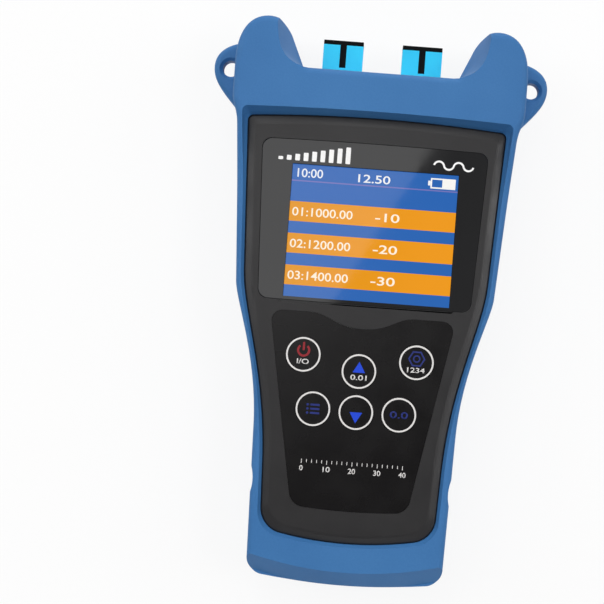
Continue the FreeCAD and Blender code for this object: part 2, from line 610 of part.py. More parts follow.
def post_foot():
    return BOARD_TOP + SWITCH_H + STEM_OUT


def make_key(x, y):
    cap = cyl(KEY_R, x, y, PANEL_Z - OVERLAY_T - 0.1, PANEL_Z + 0.1)
    cap = cap.makeFillet(0.1, [e for e in cap.Edges if e.BoundBox.ZMin > PANEL_Z])
    flange = cyl(KEY_R + KEY_FLANGE, x, y, PANEL_Z - OVERLAY_T - 0.55, PANEL_Z - OVERLAY_T - 0.05)
    return fuse(cap, flange, cyl(2.0, x, y, post_foot(), PANEL_Z - OVERLAY_T - 0.3))


def make_switch_body(x, y):
    body = rounded(x - 3, x + 3, y - 3, y + 3, BOARD_TOP, BOARD_TOP + SWITCH_H, 0.4)
    return body.cut(cyl(1.7 + RUN_FIT, x, y, post_foot() - KEY_TRAVEL - 2.2, BOARD_TOP + SWITCH_H + 1))


def make_switch_stem(x, y):
    return cyl(1.7, x, y, post_foot() - 2.1, post_foot())


def make_board():
    d = CASE_WALL + 0.8
    side = widened(BOOT_SIDE, -BOOT_WALL - BOOT_FIT - d)
    edges = outline(side, CASE_BOTTOM + 10.4, 0.0, 2.0, CASE_TOP - 16.4, 0.0, 2.0)
    return prism(edges, BOARD_Z, BOARD_TOP).cut(boss(1.1, BOARD_SCREWS, BOARD_Z - 1, BOARD_TOP + 1))


def adapter_screw_xs():
    return [s * (PORT_X + k * EAR_SCREW_X) for s in (-1, 1) for k in (-1, 1)]


def port_levels():
    """Adapter mouth, front of its flange, middle of its sleeve and its rear end."""
    face = CASE_TOP - CASE_TOP_WALL
    return TROUGH_Y + ADAPTER_PROUD, face, face - 0.3, face - ADAPTER_REAR


def socket_box(x, y0, y1, fit=0.0):
    w, d = SOCKET_W / 2 - fit, SOCKET_D / 2 - fit
    return box(x - w, x + w, y0, y1, PORT_Z - d, PORT_Z + d)


def make_adapter(x):
    mouth, face, mid, rear = port_levels()
    w, d = ADAPTER_W / 2, ADAPTER_D / 2
    body = fuse(box(x - w, x + w, rear, mouth, PORT_Z - d, PORT_Z + d),
                rounded(x - w - FLANGE_EAR, x + w + FLANGE_EAR, face - FLANGE_T, face, PORT_Z - d, PORT_Z + d, 1.0, "y"))
    body = body.cut([socket_box(x, mid + 1, mouth + 1), socket_box(x, rear - 1, mid - 1)])
    reach = SLEEVE_LEN / 2 + 0.05
    body = body.fuse(cyl_y(2.6, x, mid - reach - 0.45, mid + reach + 0.45, PORT_Z))
    cuts = [cyl_y(1.63, x, mid - reach, mid + reach, PORT_Z), cyl_y(1.32, x, mid - 7, mid + 7, PORT_Z),
            box(x - 1.05, x + 1.05, mouth - 7.35, mouth + 1, PORT_Z, PORT_Z + d + 1)]
    cuts += [cyl_y(1.15, x + s * EAR_SCREW_X, face - 3, face + 1, PORT_Z) for s in (-1, 1)]
    return body.cut(cuts)


def make_sleeve(x):
    _, _, mid, _ = port_levels()
    tube = cyl_y(1.6, x, mid - SLEEVE_LEN / 2 - 0.05, mid + SLEEVE_LEN / 2 - 0.05, PORT_Z)
    return tube.cut([cyl_y(FERRULE_R + 0.02, x, mid - 7, mid + 7, PORT_Z),
                     box(x - 0.2, x + 0.2, mid - 7, mid + 7, PORT_Z - 2, PORT_Z)])


def make_ferrule(x):
    _, _, mid, rear = port_levels()
    pin = cyl_y(FERRULE_R, x, rear - 6, mid, PORT_Z)
    return pin.makeChamfer(0.3, [e for e in pin.Edges if e.BoundBox.YMin > mid - 0.01])


def make_plug(x):
    mouth, _, mid, _ = port_levels()
    w, d = ADAPTER_W / 2, ADAPTER_D / 2
    flange = rounded(x - w, x + w, mouth, mouth + PLUG_FLANGE, PORT_Z - d, PORT_Z + d, 0.4, "y")
    body = socket_box(x, mid + SLEEVE_LEN / 2 + 2.3, mouth + 0.2, 0.15)
    rib = box(x - 0.98, x + 0.98, mouth - 7.15, mouth + 0.2, PORT_Z, PORT_Z + d - 0.05)
    return fuse(flange, body, rib).cut(cyl_y(2.0, x, mid + 7, mouth - 1, PORT_Z))


def make_optical_block():
    _, _, mid, rear = port_levels()
    y0 = rear - 0.4 - BLOCK_LEN
    block = rounded(-BLOCK_HALF, BLOCK_HALF, y0, rear - 0.4, PORT_Z - 6, BOARD_Z, 1.0)
    snouts = [socket_box(s * PORT_X, rear - 1, rear + 4.5, 0.15) for s in (-1, 1)]
    block = block.fuse(snouts)
    cuts = [cyl_y(FERRULE_R, s * PORT_X, rear - 6, rear + 6, PORT_Z) for s in (-1, 1)]
    cuts += [cyl_y(2.35, s * PORT_X, y0 - 1, y0 + 3, PORT_Z) for s in (-1, 1)]
    cuts += [cyl_y(0.5, s * PORT_X, y0, rear, PORT_Z) for s in (-1, 1)]
    return block.cut(cuts)


def make_photodiode(x):
    _, _, _, rear = port_levels()
    y0 = rear - 0.4 - BLOCK_LEN
    body = fuse(cyl_y(2.35, x, y0, y0 + 2.8, PORT_Z), cyl_y(2.7, x, y0 - 1.2, y0, PORT_Z))
    leads = []
    for dx in (-1.27, 1.27):
        leads += [cyl_y(0.23, x + dx, y0 - 3.0, y0 - 1.0, PORT_Z), cyl(0.23, x + dx, y0 - 3.0, PORT_Z, BOARD_Z),
                  Part.makeSphere(0.23, V(x + dx, y0 - 3.0, PORT_Z))]
    return body.fuse(leads)


def make_screw(head_r, head_h, shank_r, length):
    """Pan-head cross-recess screw: head below z = 0, shank above it."""
    head = cyl(head_r, 0, 0, -head_h, 0)
    head = head.makeFillet(head_h * 0.35, [e for e in head.Edges if e.BoundBox.ZMax < -head_h + 0.01])
    tip = min(0.4, shank_r * 0.4)
    shank = cyl(shank_r, 0, 0, -0.2, length)
    shank = shank.makeChamfer(tip, [e for e in shank.Edges if e.BoundBox.ZMin > length - 0.01])
    a, b = head_r * 0.55, head_r * 0.13
    return fuse(head, shank).cut([box(-a, a, -b, b, -head_h - 1, -head_h * 0.45),
                                  box(-b, b, -a, a, -head_h - 1, -head_h * 0.45)])


def placed(shape, x, y, z, towards_y=False):
    s = shape.copy()
    if towards_y:
        s.rotate(V(0, 0, 0), V(1, 0, 0), -90)
    s.translate(V(x, y, z))
    return s


def make_chip():
    x, y = 0.0, PICTURE_Y - 12
    chip = rounded(x - 6, x + 6, y - 6, y + 6, BOARD_Z - 1.4, BOARD_Z, 0.3)
    return chip.cut(cyl(0.6, x - 4.6, y + 4.6, BOARD_Z - 2, BOARD_Z - 1.2))


def build():
    """All pieces by name."""
    pieces = {"boot": make_boot(), "front_case": make_front_case(), "rear_case": make_rear_case(),
              "battery_door": make_door(), "display_window": make_window(), "lcd_glass": make_lcd_glass(),
              "lcd_backlight": make_backlight(), "lcd_frame": make_lcd_frame(), "keypad_overlay": make_overlay(),
              "main_board": make_board(), "optical_block": make_optical_block(), "processor_chip": make_chip(),
              "hinge_pin": cyl_x(PIN_R, -DOOR_HALF - 2.0, DOOR_HALF + 2.0, HINGE_Y, HINGE_Z),
              "battery_contacts_upper": make_contacts(BAY_HIGH, -1),
              "battery_contacts_lower": make_contacts(BAY_LOW, 1)}
    pieces["lanyard_lug_right"], pieces["lanyard_lug_left"] = make_lugs()
    for k, (x, up) in enumerate(cell_places(), 1):
        pieces["battery_cell_%d" % k] = make_cell(x, up)
    for name, x, y in key_places():
        pieces["key_" + name] = make_key(x, y)
        pieces["switch_body_" + name] = make_switch_body(x, y)
        pieces["switch_stem_" + name] = make_switch_stem(x, y)
    for label, x in (("left", -PORT_X), ("right", PORT_X)):
        pieces["sc_adapter_" + label] = make_adapter(x)
        pieces["ferrule_sleeve_" + label] = make_sleeve(x)
        pieces["stub_ferrule_" + label] = make_ferrule(x)
        pieces["dust_plug_" + label] = make_plug(x)
        pieces["photodiode_" + label] = make_photodiode(x)
    _, face, _, _ = port_levels()
    for k, x in enumerate(adapter_screw_xs(), 1):
        pieces["adapter_screw_%d" % k] = placed(make_screw(1.8, 1.3, 0.9, FLANGE_T + 2.2), x, face - FLANGE_T, PORT_Z, True)
    for k, (x, y) in enumerate([(s * x, y) for x, y in CASE_SCREWS for s in (-1, 1)], 1):
        pieces["case_screw_%d" % k] = placed(make_screw(2.2, 1.6, 1.1, 12.0), x, y, SPLIT_Z - 5)
    for k, (x, y) in enumerate([(s * x, y) for x, y in BOARD_SCREWS for s in (-1, 1)], 1):
        pieces["board_screw_%d" % k] = placed(make_screw(1.9, 1.2, 0.9, 5.6), x, y, BOARD_Z)
    return pieces


faults = []
for node, shape in build().items():
    solids = shape.Solids
    if len(solids) != 1 or not shape.isValid():
        faults.append("%s: %d solids, valid %s" % (node, len(solids), shape.isValid()))
    solids[0].exportStep("parts/%s.step" % node)
if faults:
    raise ValueError("; ".join(faults))
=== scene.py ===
"""Looks of the handheld optical power meter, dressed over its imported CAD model."""
import logging
import math
from dataclasses import dataclass, field
from enum import Enum
from typing import Any, Iterable, Protocol, Union

import bmesh
import bpy
from mathutils import Matrix, Vector


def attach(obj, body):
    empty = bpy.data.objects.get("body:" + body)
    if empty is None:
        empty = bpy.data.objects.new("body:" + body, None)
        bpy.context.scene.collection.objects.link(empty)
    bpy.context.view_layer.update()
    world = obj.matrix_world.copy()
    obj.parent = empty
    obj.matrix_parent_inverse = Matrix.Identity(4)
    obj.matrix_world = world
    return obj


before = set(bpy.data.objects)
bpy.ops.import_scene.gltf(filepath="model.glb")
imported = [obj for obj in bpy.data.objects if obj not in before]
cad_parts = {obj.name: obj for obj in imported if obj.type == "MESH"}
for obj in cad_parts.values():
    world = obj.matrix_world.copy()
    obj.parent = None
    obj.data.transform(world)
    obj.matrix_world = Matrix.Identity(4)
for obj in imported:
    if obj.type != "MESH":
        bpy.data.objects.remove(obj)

log = logging.getLogger("power_meter")

MM = 0.001
# Vertices closer than this are one.
MERGE_MM = 0.0005
# Vertices within this of a level lie on it.
LEVEL_MM = 0.01
# Sockets of a Mix node: its factor, the two numbers or two colours that it mixes, and the mixed colour.
FACTOR, LOW_NUMBER, HIGH_NUMBER, LOW, HIGH, MIXED = 0, 2, 3, 6, 7, 2
# The middle of a noise's range, where nearly all of its values lie.
MIDDLE = {"From Min": 0.3, "From Max": 0.7}

Key = Union[str, int]
Source = Union[bpy.types.Node, bpy.types.NodeSocket]


class Look(Protocol):
    """A finish: the name of its material, and how that is built."""
    name: str

    def build(self) -> bpy.types.Material:
        """Builds the material."""


class Body(Enum):
    """Bodies of the frame that pieces ride on."""
    METER = "meter"
    POWER = "power_key"
    UP = "up_key"
    SETTINGS = "settings_key"
    MENU = "menu_key"
    DOWN = "down_key"
    REFERENCE = "reference_key"
    DOOR = "door"


class Slot(Enum):
    """Material slots of the record that new pieces take their finish from."""
    KEYPAD = "keypad_sheet"
    WINDOW = "window_acrylic"
    GLASS = "display_glass"
    CASE = "case_plastic"


class Axis(Enum):
    """Axes of the object, by their place in a vector."""
    X = 0
    Y = 1
    Z = 2


def rgba(code: str) -> tuple[float, float, float, float]:
    """Turns an sRGB hex colour to linear values.

    Args:
        code: Colour such as "#3a6ea5".

    Returns:
        Linear red, green, blue and an alpha of 1.
    """
    parts = [int(code[k:k + 2], 16) / 255 for k in (1, 3, 5)]
    linear = [c / 12.92 if c <= 0.04045 else ((c + 0.055) / 1.055) ** 2.4 for c in parts]
    return linear[0], linear[1], linear[2], 1.0


def per_mm(size_mm: float) -> float:
    """Gives the scale at which a texture's lumps or cells are about size_mm wide."""
    return 1 / (size_mm * MM)


class Nodes:
    """A node tree and the one step that fills it."""

    def __init__(self, tree: bpy.types.NodeTree) -> None:
        """Takes a tree and empties it."""
        self.tree = tree
        tree.nodes.clear()

    def add(self, kind: str, settings: dict[Key, Any] | None = None,
            links: dict[Key, Source] | None = None) -> bpy.types.Node:
        """Adds a node with its settings and links.

        Args:
            kind: Node type after "ShaderNode", such as "TexNoise".
            settings: Node attributes, or input values by socket name or number.
            links: What feeds each input, by its name or number: a socket, or a node for its first output.

        Returns:
            The new node.
        """
        made = self.tree.nodes.new("ShaderNode" + kind)
        for key, value in (settings or {}).items():
            if isinstance(key, str) and hasattr(made, key):
                setattr(made, key, value)
            else:
                made.inputs[key].default_value = value
        for key, source in (links or {}).items():
            socket = source.outputs[0] if isinstance(source, bpy.types.Node) else source
            self.tree.links.new(socket, made.inputs[key])
        return made

    def seen(self) -> Source:
        """Finds the rays that come from the eye, also by way of gloss or glass.

        Returns:
            A value of 1 for those rays and 0 for the others.
        """
        path = self.add("LightPath").outputs
        glossy = {0: path["Is Glossy Ray"], 1: path["Is Transmission Ray"]}
        indirect = self.add("Math", {"operation": "MAXIMUM"}, glossy)
        return self.add("Math", {"operation": "MAXIMUM"}, {0: indirect, 1: path["Is Camera Ray"]})


class Shader(Nodes):
    """A material's node tree, with the object's own coordinates in metres as its place."""

    def __init__(self, name: str) -> None:
        """Starts a material.

        Args:
            name: Its name.
        """
        self.material = bpy.data.materials.new(name)
        self.material.use_nodes = True
        super().__init__(self.material.node_tree)
        self.place = self.add("TexCoord").outputs["Object"]

    def gloss(self, size_mm: float, roughness: tuple[float, float], detail: float = 2.0) -> Source:
        """Makes a gloss that wanders over the surface.

        Args:
            size_mm: Width of its patches.
            roughness: Lowest and highest roughness.
            detail: How finely the patches break up.

        Returns:
            The roughness.
        """
        wander = self.add("TexNoise", {"Scale": per_mm(size_mm), "Detail": detail}, {"Vector": self.place})
        low, high = roughness
        return self.add("MapRange", {**MIDDLE, "To Min": low, "To Max": high}, {"Value": wander})

    def close(self, surface: Source) -> bpy.types.Material:
        """Sets the surface's shader as the material's output and gives the material."""
        self.add("OutputMaterial", links={"Surface": surface})
        return self.material


@dataclass(frozen=True)
class Moulded:
    """A moulded polymer: slow drifts of colour, the tool's surface grain and an uneven gloss.

    The real grain is a tenth of a millimetre or less, too fine to show, so each finish draws it coarser.
    """
    name: str
    light: str
    dark: str
    roughness: tuple[float, float] = (0.4, 0.5)
    grain_mm: float = 0.6
    grain_depth_mm: float = 0.01
    grain_share: float = 0.25
    drift_mm: float = 30.0
    gloss_share: float = 0.4
    wave_mm: float = 9.0
    wave_depth_mm: float = 0.0
    seam_mm: tuple[float, float] | None = None
    seam_depth_mm: float = 0.12
    seam_crest: float = 0.3
    ior: float = 1.5
    glow_through: float = 0.0

    def build(self) -> bpy.types.Material:
        """Builds the material.

        Returns:
            The finished material.
        """
        sh = Shader(self.name)
        drift = sh.add("TexNoise", {"Scale": per_mm(self.drift_mm), "Detail": 3.0}, {"Vector": sh.place})
        grain = sh.add("TexNoise", {"Scale": per_mm(self.grain_mm)}, {"Vector": sh.place})
        shared = sh.add("Math", {"operation": "MULTIPLY", 1: 1 - self.grain_share}, {0: drift})
        both = sh.add("Math", {"operation": "MULTIPLY_ADD", 1: self.grain_share}, {0: grain, 2: shared})
        tone = sh.add("MapRange", MIDDLE, {"Value": both})
        colour = sh.add("Mix", {"data_type": "RGBA", LOW: rgba(self.dark), HIGH: rgba(self.light)}, {FACTOR: tone})
        gloss = sh.gloss(self.drift_mm * self.gloss_share, self.roughness)
        settings = {"IOR": self.ior, "Subsurface Weight": self.glow_through, "Subsurface Scale": MM}
        links = {"Base Color": colour.outputs[MIXED], "Roughness": gloss, "Normal": self._relief(sh, grain)}
        return sh.close(sh.add("BsdfPrincipled", settings, links))

    def _relief(self, sh: Shader, grain: Source) -> Source:
        """Lays the grain, the slow waves of the wall and the tool's parting line over each other.

        Args:
            sh: The material's tree.
            grain: Height of the grain.

        Returns:
            The bumped normal.
        """
        normal = sh.add("Bump", {"Distance": self.grain_depth_mm * MM}, {"Height": grain})
        if self.wave_depth_mm:
            wave = sh.add("TexNoise", {"Scale": per_mm(self.wave_mm), "Detail": 1.0}, {"Vector": sh.place})
            normal = sh.add("Bump", {"Distance": self.wave_depth_mm * MM}, {"Height": wave, "Normal": normal})
        if self.seam_mm:
            level, half = self.seam_mm
            height = sh.add("SeparateXYZ", {}, {0: sh.place}).outputs["Z"]
            above = sh.add("Math", {"operation": "SUBTRACT", 1: level * MM}, {0: height})
            gap = sh.add("Math", {"operation": "ABSOLUTE"}, {0: above})
            slope = {"From Min": self.seam_crest * half * MM, "From Max": half * MM, "To Min": 1.0, "To Max": 0.0}
            line = sh.add("MapRange", slope, {"Value": gap})
            normal = sh.add("Bump", {"Distance": self.seam_depth_mm * MM}, {"Height": line, "Normal": normal})
        return normal


@dataclass(frozen=True)
class Metal:
    """A metal part: fine tool or rolling lines along one axis, and a gloss that wanders.

    The real lines are too fine to show, so they are drawn a few times as wide.
    """
    name: str
    light: str
    dark: str
    roughness: tuple[float, float] = (0.25, 0.4)
    line_mm: float = 0.25
    line_length_mm: float = 12.0
    axis: Axis = Axis.Y
    depth_mm: float = 0.004
    gloss_mm: float = 6.0

    def build(self) -> bpy.types.Material:
        """Builds the material.

        Returns:
            The finished material.
        """
        sh = Shader(self.name)
        stretch = [1.0, 1.0, 1.0]
        stretch[self.axis.value] = self.line_mm / self.line_length_mm
        drawn = sh.add("Mapping", {"Scale": stretch}, {"Vector": sh.place})
        lines = sh.add("TexNoise", {"Scale": per_mm(self.line_mm)}, {"Vector": drawn})
        tone = sh.add("MapRange", MIDDLE, {"Value": lines})
        colour = sh.add("Mix", {"data_type": "RGBA", LOW: rgba(self.dark), HIGH: rgba(self.light)}, {FACTOR: tone})
        gloss = sh.gloss(self.gloss_mm, self.roughness)
        normal = sh.add("Bump", {"Distance": self.depth_mm * MM}, {"Height": lines})
        links = {"Base Color": colour.outputs[MIXED], "Roughness": gloss, "Normal": normal}
        return sh.close(sh.add("BsdfPrincipled", {"Metallic": 1.0}, links))


@dataclass(frozen=True)
class ScreenInk:
    """Screen ink: an even, slightly rough film with a faint mesh mark from the screen, drawn wider than the real one
    so that it shows."""
    name: str
    light: str
    dark: str
    mesh_mm: float = 0.25
    mesh_depth_mm: float = 0.003
    gloss_mm: float = 2.0
    roughness: tuple[float, float] = (0.42, 0.55)
    ior: float = 1.4

    def build(self) -> bpy.types.Material:
        """Builds the material.

        Returns:
            The finished material.
        """
        sh = Shader(self.name)
        mesh = sh.add("TexNoise", {"Scale": per_mm(self.mesh_mm), "Detail": 1.0}, {"Vector": sh.place})
        tone = sh.add("MapRange", MIDDLE, {"Value": mesh})
        colour = sh.add("Mix", {"data_type": "RGBA", LOW: rgba(self.dark), HIGH: rgba(self.light)}, {FACTOR: tone})
        gloss = sh.gloss(self.gloss_mm, self.roughness)
        normal = sh.add("Bump", {"Distance": self.mesh_depth_mm * MM}, {"Height": mesh})
        links = {"Base Color": colour.outputs[MIXED], "Roughness": gloss, "Normal": normal}
        return sh.close(sh.add("BsdfPrincipled", {"IOR": self.ior}, links))


@dataclass(frozen=True)
class PictureArea:
    """Where the lit picture lies behind the window, in mm."""
    x: float = 0.57
    y: float = 22.7
    half_width: float = 26.35
    half_height: float = 21.0

    def inside(self, sh: Shader) -> Source:
        """Finds the picture on a material.

        Args:
            sh: The material's tree.

        Returns:
            A value of 1 inside the picture and 0 round it.
        """
        place = sh.add("SeparateXYZ", {}, {0: sh.place}).outputs
        wide = {"operation": "COMPARE", 1: self.x * MM, 2: self.half_width * MM}
        tall = {"operation": "COMPARE", 1: self.y * MM, 2: self.half_height * MM}
        both = {0: sh.add("Math", wide, {0: place["X"]}), 1: sh.add("Math", tall, {0: place["Y"]})}
        return sh.add("Math", {"operation": "MULTIPLY"}, both)


@dataclass(frozen=True)
class PictureLight:
    """Lit segments of the display: light that falls off a little across the picture, on black glass."""
    name: str
    left: str
    right: str
    unlit: str = "#101214"
    half_mm: float = 26.0
    gloss_mm: float = 4.0
    roughness: tuple[float, float] = (0.2, 0.3)

    def build(self) -> bpy.types.Material:
        """Builds the material.

        Returns:
            The finished material.
        """
        sh = Shader(self.name)
        reach = {"From Min": -self.half_mm * MM, "From Max": self.half_mm * MM}
        x = sh.add("SeparateXYZ", {}, {0: sh.place}).outputs["X"]
        across = sh.add("MapRange", reach, {"Value": x})
        colour = sh.add("Mix", {"data_type": "RGBA", LOW: rgba(self.left), HIGH: rgba(self.right)}, {FACTOR: across})
        gloss = sh.gloss(self.gloss_mm, self.roughness)
        settings = {"Base Color": rgba(self.unlit), "Emission Strength": 1.0}
        links = {"Emission Color": colour.outputs[MIXED], "Roughness": gloss}
        return sh.close(sh.add("BsdfPrincipled", settings, links))


@dataclass(frozen=True)
class Picture:
    """Colour display behind glass: blue ground, three orange rows, dark glass round them."""
    name: str = "lcd_glass_lit"
    area: PictureArea = PictureArea()
    rows_mm: tuple[tuple[float, float], ...] = ((25.6, 31.9), (15.5, 21.8), (5.4, 11.7))
    line_mm: tuple[float, float] = (38.25, 38.65)
    blues: tuple[str, str] = ("#3468b4", "#2a64b2")
    oranges: tuple[str, str] = ("#de9204", "#ee991a")
    line_colour: str = "#9a80b8"
    line_share: float = 0.5
    unlit: str = "#000000"
    reach_mm: float = 26.0
    uneven_mm: float = 18.0
    uneven_share: float = 0.3
    glass: tuple[str, str] = ("#08090a", "#0d0f11")
    cloud_mm: float = 12.0
    gloss_mm: float = 7.0
    roughness: tuple[float, float] = (0.03, 0.06)
    ior: float = 1.4

    def build(self) -> bpy.types.Material:
        """Builds the material.

        Returns:
            The finished material.
        """
        sh = Shader(self.name)
        cloudy = sh.add("TexNoise", {"Scale": per_mm(self.cloud_mm)}, {"Vector": sh.place})
        glass = sh.add("Mix", {"data_type": "RGBA", LOW: rgba(self.glass[0]), HIGH: rgba(self.glass[1])},
                       {FACTOR: cloudy})
        gloss = sh.gloss(self.gloss_mm, self.roughness)
        lit = sh.add("Mix", {"data_type": "RGBA", LOW: rgba(self.unlit)},
                     {FACTOR: self.area.inside(sh), HIGH: self._rows(sh)})
        links = {"Base Color": glass.outputs[MIXED], "Emission Color": lit.outputs[MIXED], "Roughness": gloss}
        return sh.close(sh.add("BsdfPrincipled", {"Emission Strength": 1.0, "IOR": self.ior}, links))

    def _rows(self, sh: Shader) -> Source:
        """Paints the ground, the rows and the faint line under the header.

        Args:
            sh: The material's tree.

        Returns:
            The colour of the lit picture.
        """
        across = self._falloff(sh)
        ground, band = [sh.add("Mix", {"data_type": "RGBA", LOW: rgba(a), HIGH: rgba(b)}, {FACTOR: across})
                        for a, b in (self.blues, self.oranges)]
        y = sh.add("SeparateXYZ", {}, {0: sh.place}).outputs["Y"]
        line, rows, *more = [sh.add("Math", {"operation": "COMPARE", 1: (a + b) / 2 * MM, 2: (b - a) / 2 * MM}, {0: y})
                             for a, b in (self.line_mm, *self.rows_mm)]
        for row in more:
            rows = sh.add("Math", {"operation": "ADD"}, {0: rows, 1: row})
        striped = sh.add("Mix", {"data_type": "RGBA"},
                         {FACTOR: rows, LOW: ground.outputs[MIXED], HIGH: band.outputs[MIXED]})
        faint = sh.add("Math", {"operation": "MULTIPLY", 1: self.line_share}, {0: line})
        lined = sh.add("Mix", {"data_type": "RGBA", HIGH: rgba(self.line_colour)},
                       {FACTOR: faint, LOW: striped.outputs[MIXED]})
        return lined.outputs[MIXED]

    def _falloff(self, sh: Shader) -> Source:
        """Makes the uneven change of the backlight from left to right.

        Args:
            sh: The material's tree.

        Returns:
            A value that grows from about 0 on the left to more than 1 on the right.
        """
        reach = {"From Min": -self.reach_mm * MM, "From Max": self.reach_mm * MM}
        x = sh.add("SeparateXYZ", {}, {0: sh.place}).outputs["X"]
        across = sh.add("MapRange", reach, {"Value": x})
        cloudy = sh.add("TexNoise", {"Scale": per_mm(self.uneven_mm)}, {"Vector": sh.place})
        return sh.add("Math", {"operation": "MULTIPLY_ADD", 1: self.uneven_share}, {0: cloudy, 2: across})


@dataclass(frozen=True)
class PrintedWindow:
    """Cast acrylic window: black print behind it, clear over the picture, a polished face."""
    name: str = "acrylic_window_printed"
    area: PictureArea = PictureArea()
    tones: tuple[str, str] = ("#222223", "#272728")
    cloud_mm: float = 20.0
    gloss_mm: float = 9.0
    roughness: tuple[float, float] = (0.03, 0.07)
    ior: float = 1.49

    def build(self) -> bpy.types.Material:
        """Builds the material.

        Returns:
            The finished material.
        """
        sh = Shader(self.name)
        cloudy = sh.add("TexNoise", {"Scale": per_mm(self.cloud_mm)}, {"Vector": sh.place})
        colour = sh.add("Mix", {"data_type": "RGBA", LOW: rgba(self.tones[0]), HIGH: rgba(self.tones[1])},
                        {FACTOR: cloudy})
        gloss = sh.gloss(self.gloss_mm, self.roughness, detail=3.0)
        printed = sh.add("Math", {"operation": "SUBTRACT", 0: 1.0}, {1: self.area.inside(sh)})
        links = {"Base Color": colour.outputs[MIXED], "Roughness": gloss, "Alpha": printed}
        return sh.close(sh.add("BsdfPrincipled", {"IOR": self.ior}, links))


@dataclass(frozen=True)
class Laminate:
    """Glass-epoxy board: green solder mask over a woven base, with copper tracks just under it."""
    name: str = "glass_epoxy_board"
    weave_mm: float = 0.9
    track_mm: float = 2.4
    weave_depth_mm: float = 0.004
    track_share: float = 0.06
    masks: tuple[str, str] = ("#15502f", "#12472a")
    track_colour: str = "#2c7a48"
    gloss_mm: float = 8.0
    roughness: tuple[float, float] = (0.3, 0.42)

    def build(self) -> bpy.types.Material:
        """Builds the material.

        Returns:
            The finished material.
        """
        sh = Shader(self.name)
        pattern = {"Scale": per_mm(self.track_mm), "Mortar Size": self.track_share, "Color1": rgba(self.masks[0]),
                   "Color2": rgba(self.masks[1]), "Mortar": rgba(self.track_colour)}
        tracks = sh.add("TexBrick", pattern, {"Vector": sh.place})
        weave = sh.add("TexChecker", {"Scale": per_mm(self.weave_mm)}, {"Vector": sh.place})
        gloss = sh.gloss(self.gloss_mm, self.roughness)
        normal = sh.add("Bump", {"Distance": self.weave_depth_mm * MM}, {"Height": weave.outputs[1]})
        links = {"Base Color": tracks, "Roughness": gloss, "Normal": normal}
        return sh.close(sh.add("BsdfPrincipled", {}, links))


@dataclass(frozen=True)
class CellJacket:
    """Shrunk printed jacket of a dry cell, with bare plated steel at both ends."""
    name: str = "shrink_film_cell_jacket"
    low_mm: float = -70.7
    high_mm: float = -23.2
    band_mm: float = 13.0
    films: tuple[str, str] = ("#24272b", "#a9adb0")
    steel: str = "#b8b9ba"
    crease_mm: float = 1.6
    crease_depth_mm: float = 0.01
    gloss_mm: float = 3.0
    roughness: tuple[float, float] = (0.24, 0.36)

    def build(self) -> bpy.types.Material:
        """Builds the material.

        Returns:
            The finished material.
        """
        sh = Shader(self.name)
        y = sh.add("SeparateXYZ", {}, {0: sh.place}).outputs["Y"]
        middle, half = (self.low_mm + self.high_mm) / 2, (self.high_mm - self.low_mm) / 2
        wrap = sh.add("Math", {"operation": "COMPARE", 1: middle * MM, 2: half * MM}, {0: y})
        band = sh.add("Math", {"operation": "GREATER_THAN", 1: (self.high_mm - self.band_mm) * MM}, {0: y})
        film = sh.add("Mix", {"data_type": "RGBA", LOW: rgba(self.films[0]), HIGH: rgba(self.films[1])},
                      {FACTOR: band})
        colour = sh.add("Mix", {"data_type": "RGBA", LOW: rgba(self.steel)},
                        {FACTOR: wrap, HIGH: film.outputs[MIXED]})
        bare = sh.add("Math", {"operation": "SUBTRACT", 0: 1.0}, {1: wrap})
        gloss = sh.gloss(self.gloss_mm, self.roughness)
        creases = sh.add("TexNoise", {"Scale": per_mm(self.crease_mm)}, {"Vector": sh.place})
        normal = sh.add("Bump", {"Distance": self.crease_depth_mm * MM}, {"Height": creases})
        links = {"Base Color": colour.outputs[MIXED], "Metallic": bare, "Roughness": gloss, "Normal": normal}
        return sh.close(sh.add("BsdfPrincipled", {}, links))


@dataclass(frozen=True)
class StudioPaint:
    """Matt white paint of the floor, part of whose white reaches the eye without light, and open from below."""
    name: str = "painted_studio_floor"
    tones: tuple[str, str] = ("#f4f4f3", "#f7f7f6")
    cloud_mm: float = 400.0
    gloss_mm: float = 90.0
    roughness: tuple[float, float] = (0.75, 0.85)
    backdrop: str = "#ffffff"
    glow: float = 0.86

    def build(self) -> bpy.types.Material:
        """Builds the material.

        Returns:
            The finished material.
        """
        sh = Shader(self.name)
        cloudy = sh.add("TexNoise", {"Scale": per_mm(self.cloud_mm)}, {"Vector": sh.place})
        colour = sh.add("Mix", {"data_type": "RGBA", LOW: rgba(self.tones[0]), HIGH: rgba(self.tones[1])},
                        {FACTOR: cloudy})
        gloss = sh.gloss(self.gloss_mm, self.roughness)
        paint = sh.add("BsdfPrincipled", {}, {"Base Color": colour.outputs[MIXED], "Roughness": gloss})
        white = sh.add("Emission", {"Color": rgba(self.backdrop), "Strength": 1.0})
        share = sh.add("Math", {"operation": "MULTIPLY", 1: self.glow}, {0: sh.seen()})
        lit = sh.add("MixShader", {}, {0: share, 1: paint, 2: white})
        under = sh.add("NewGeometry").outputs["Backfacing"]
        return sh.close(sh.add("MixShader", {}, {0: under, 1: lit, 2: sh.add("BsdfTransparent")}))


# Thermoplastic rubber, injection moulded: satin, faintly mottled, with a fine leathery tool grain, drawn a little
# coarser than the real one so that it shows. Its parting line runs round the sides.
RUBBER = Moulded("tpe_rubber_boot", "#4178b0", "#376ca4", (0.46, 0.56), grain_mm=0.55, grain_depth_mm=0.022,
                 drift_mm=34.0, wave_mm=11.0, wave_depth_mm=0.03, seam_mm=(21.0, 0.35), ior=1.29)
# ABS with a spark-eroded tool face: near-black grey that scatters light evenly.
CASE = Moulded("abs_spark_eroded", "#2a292a", "#232223", (0.32, 0.4), grain_mm=0.45, drift_mm=26.0, ior=1.42)
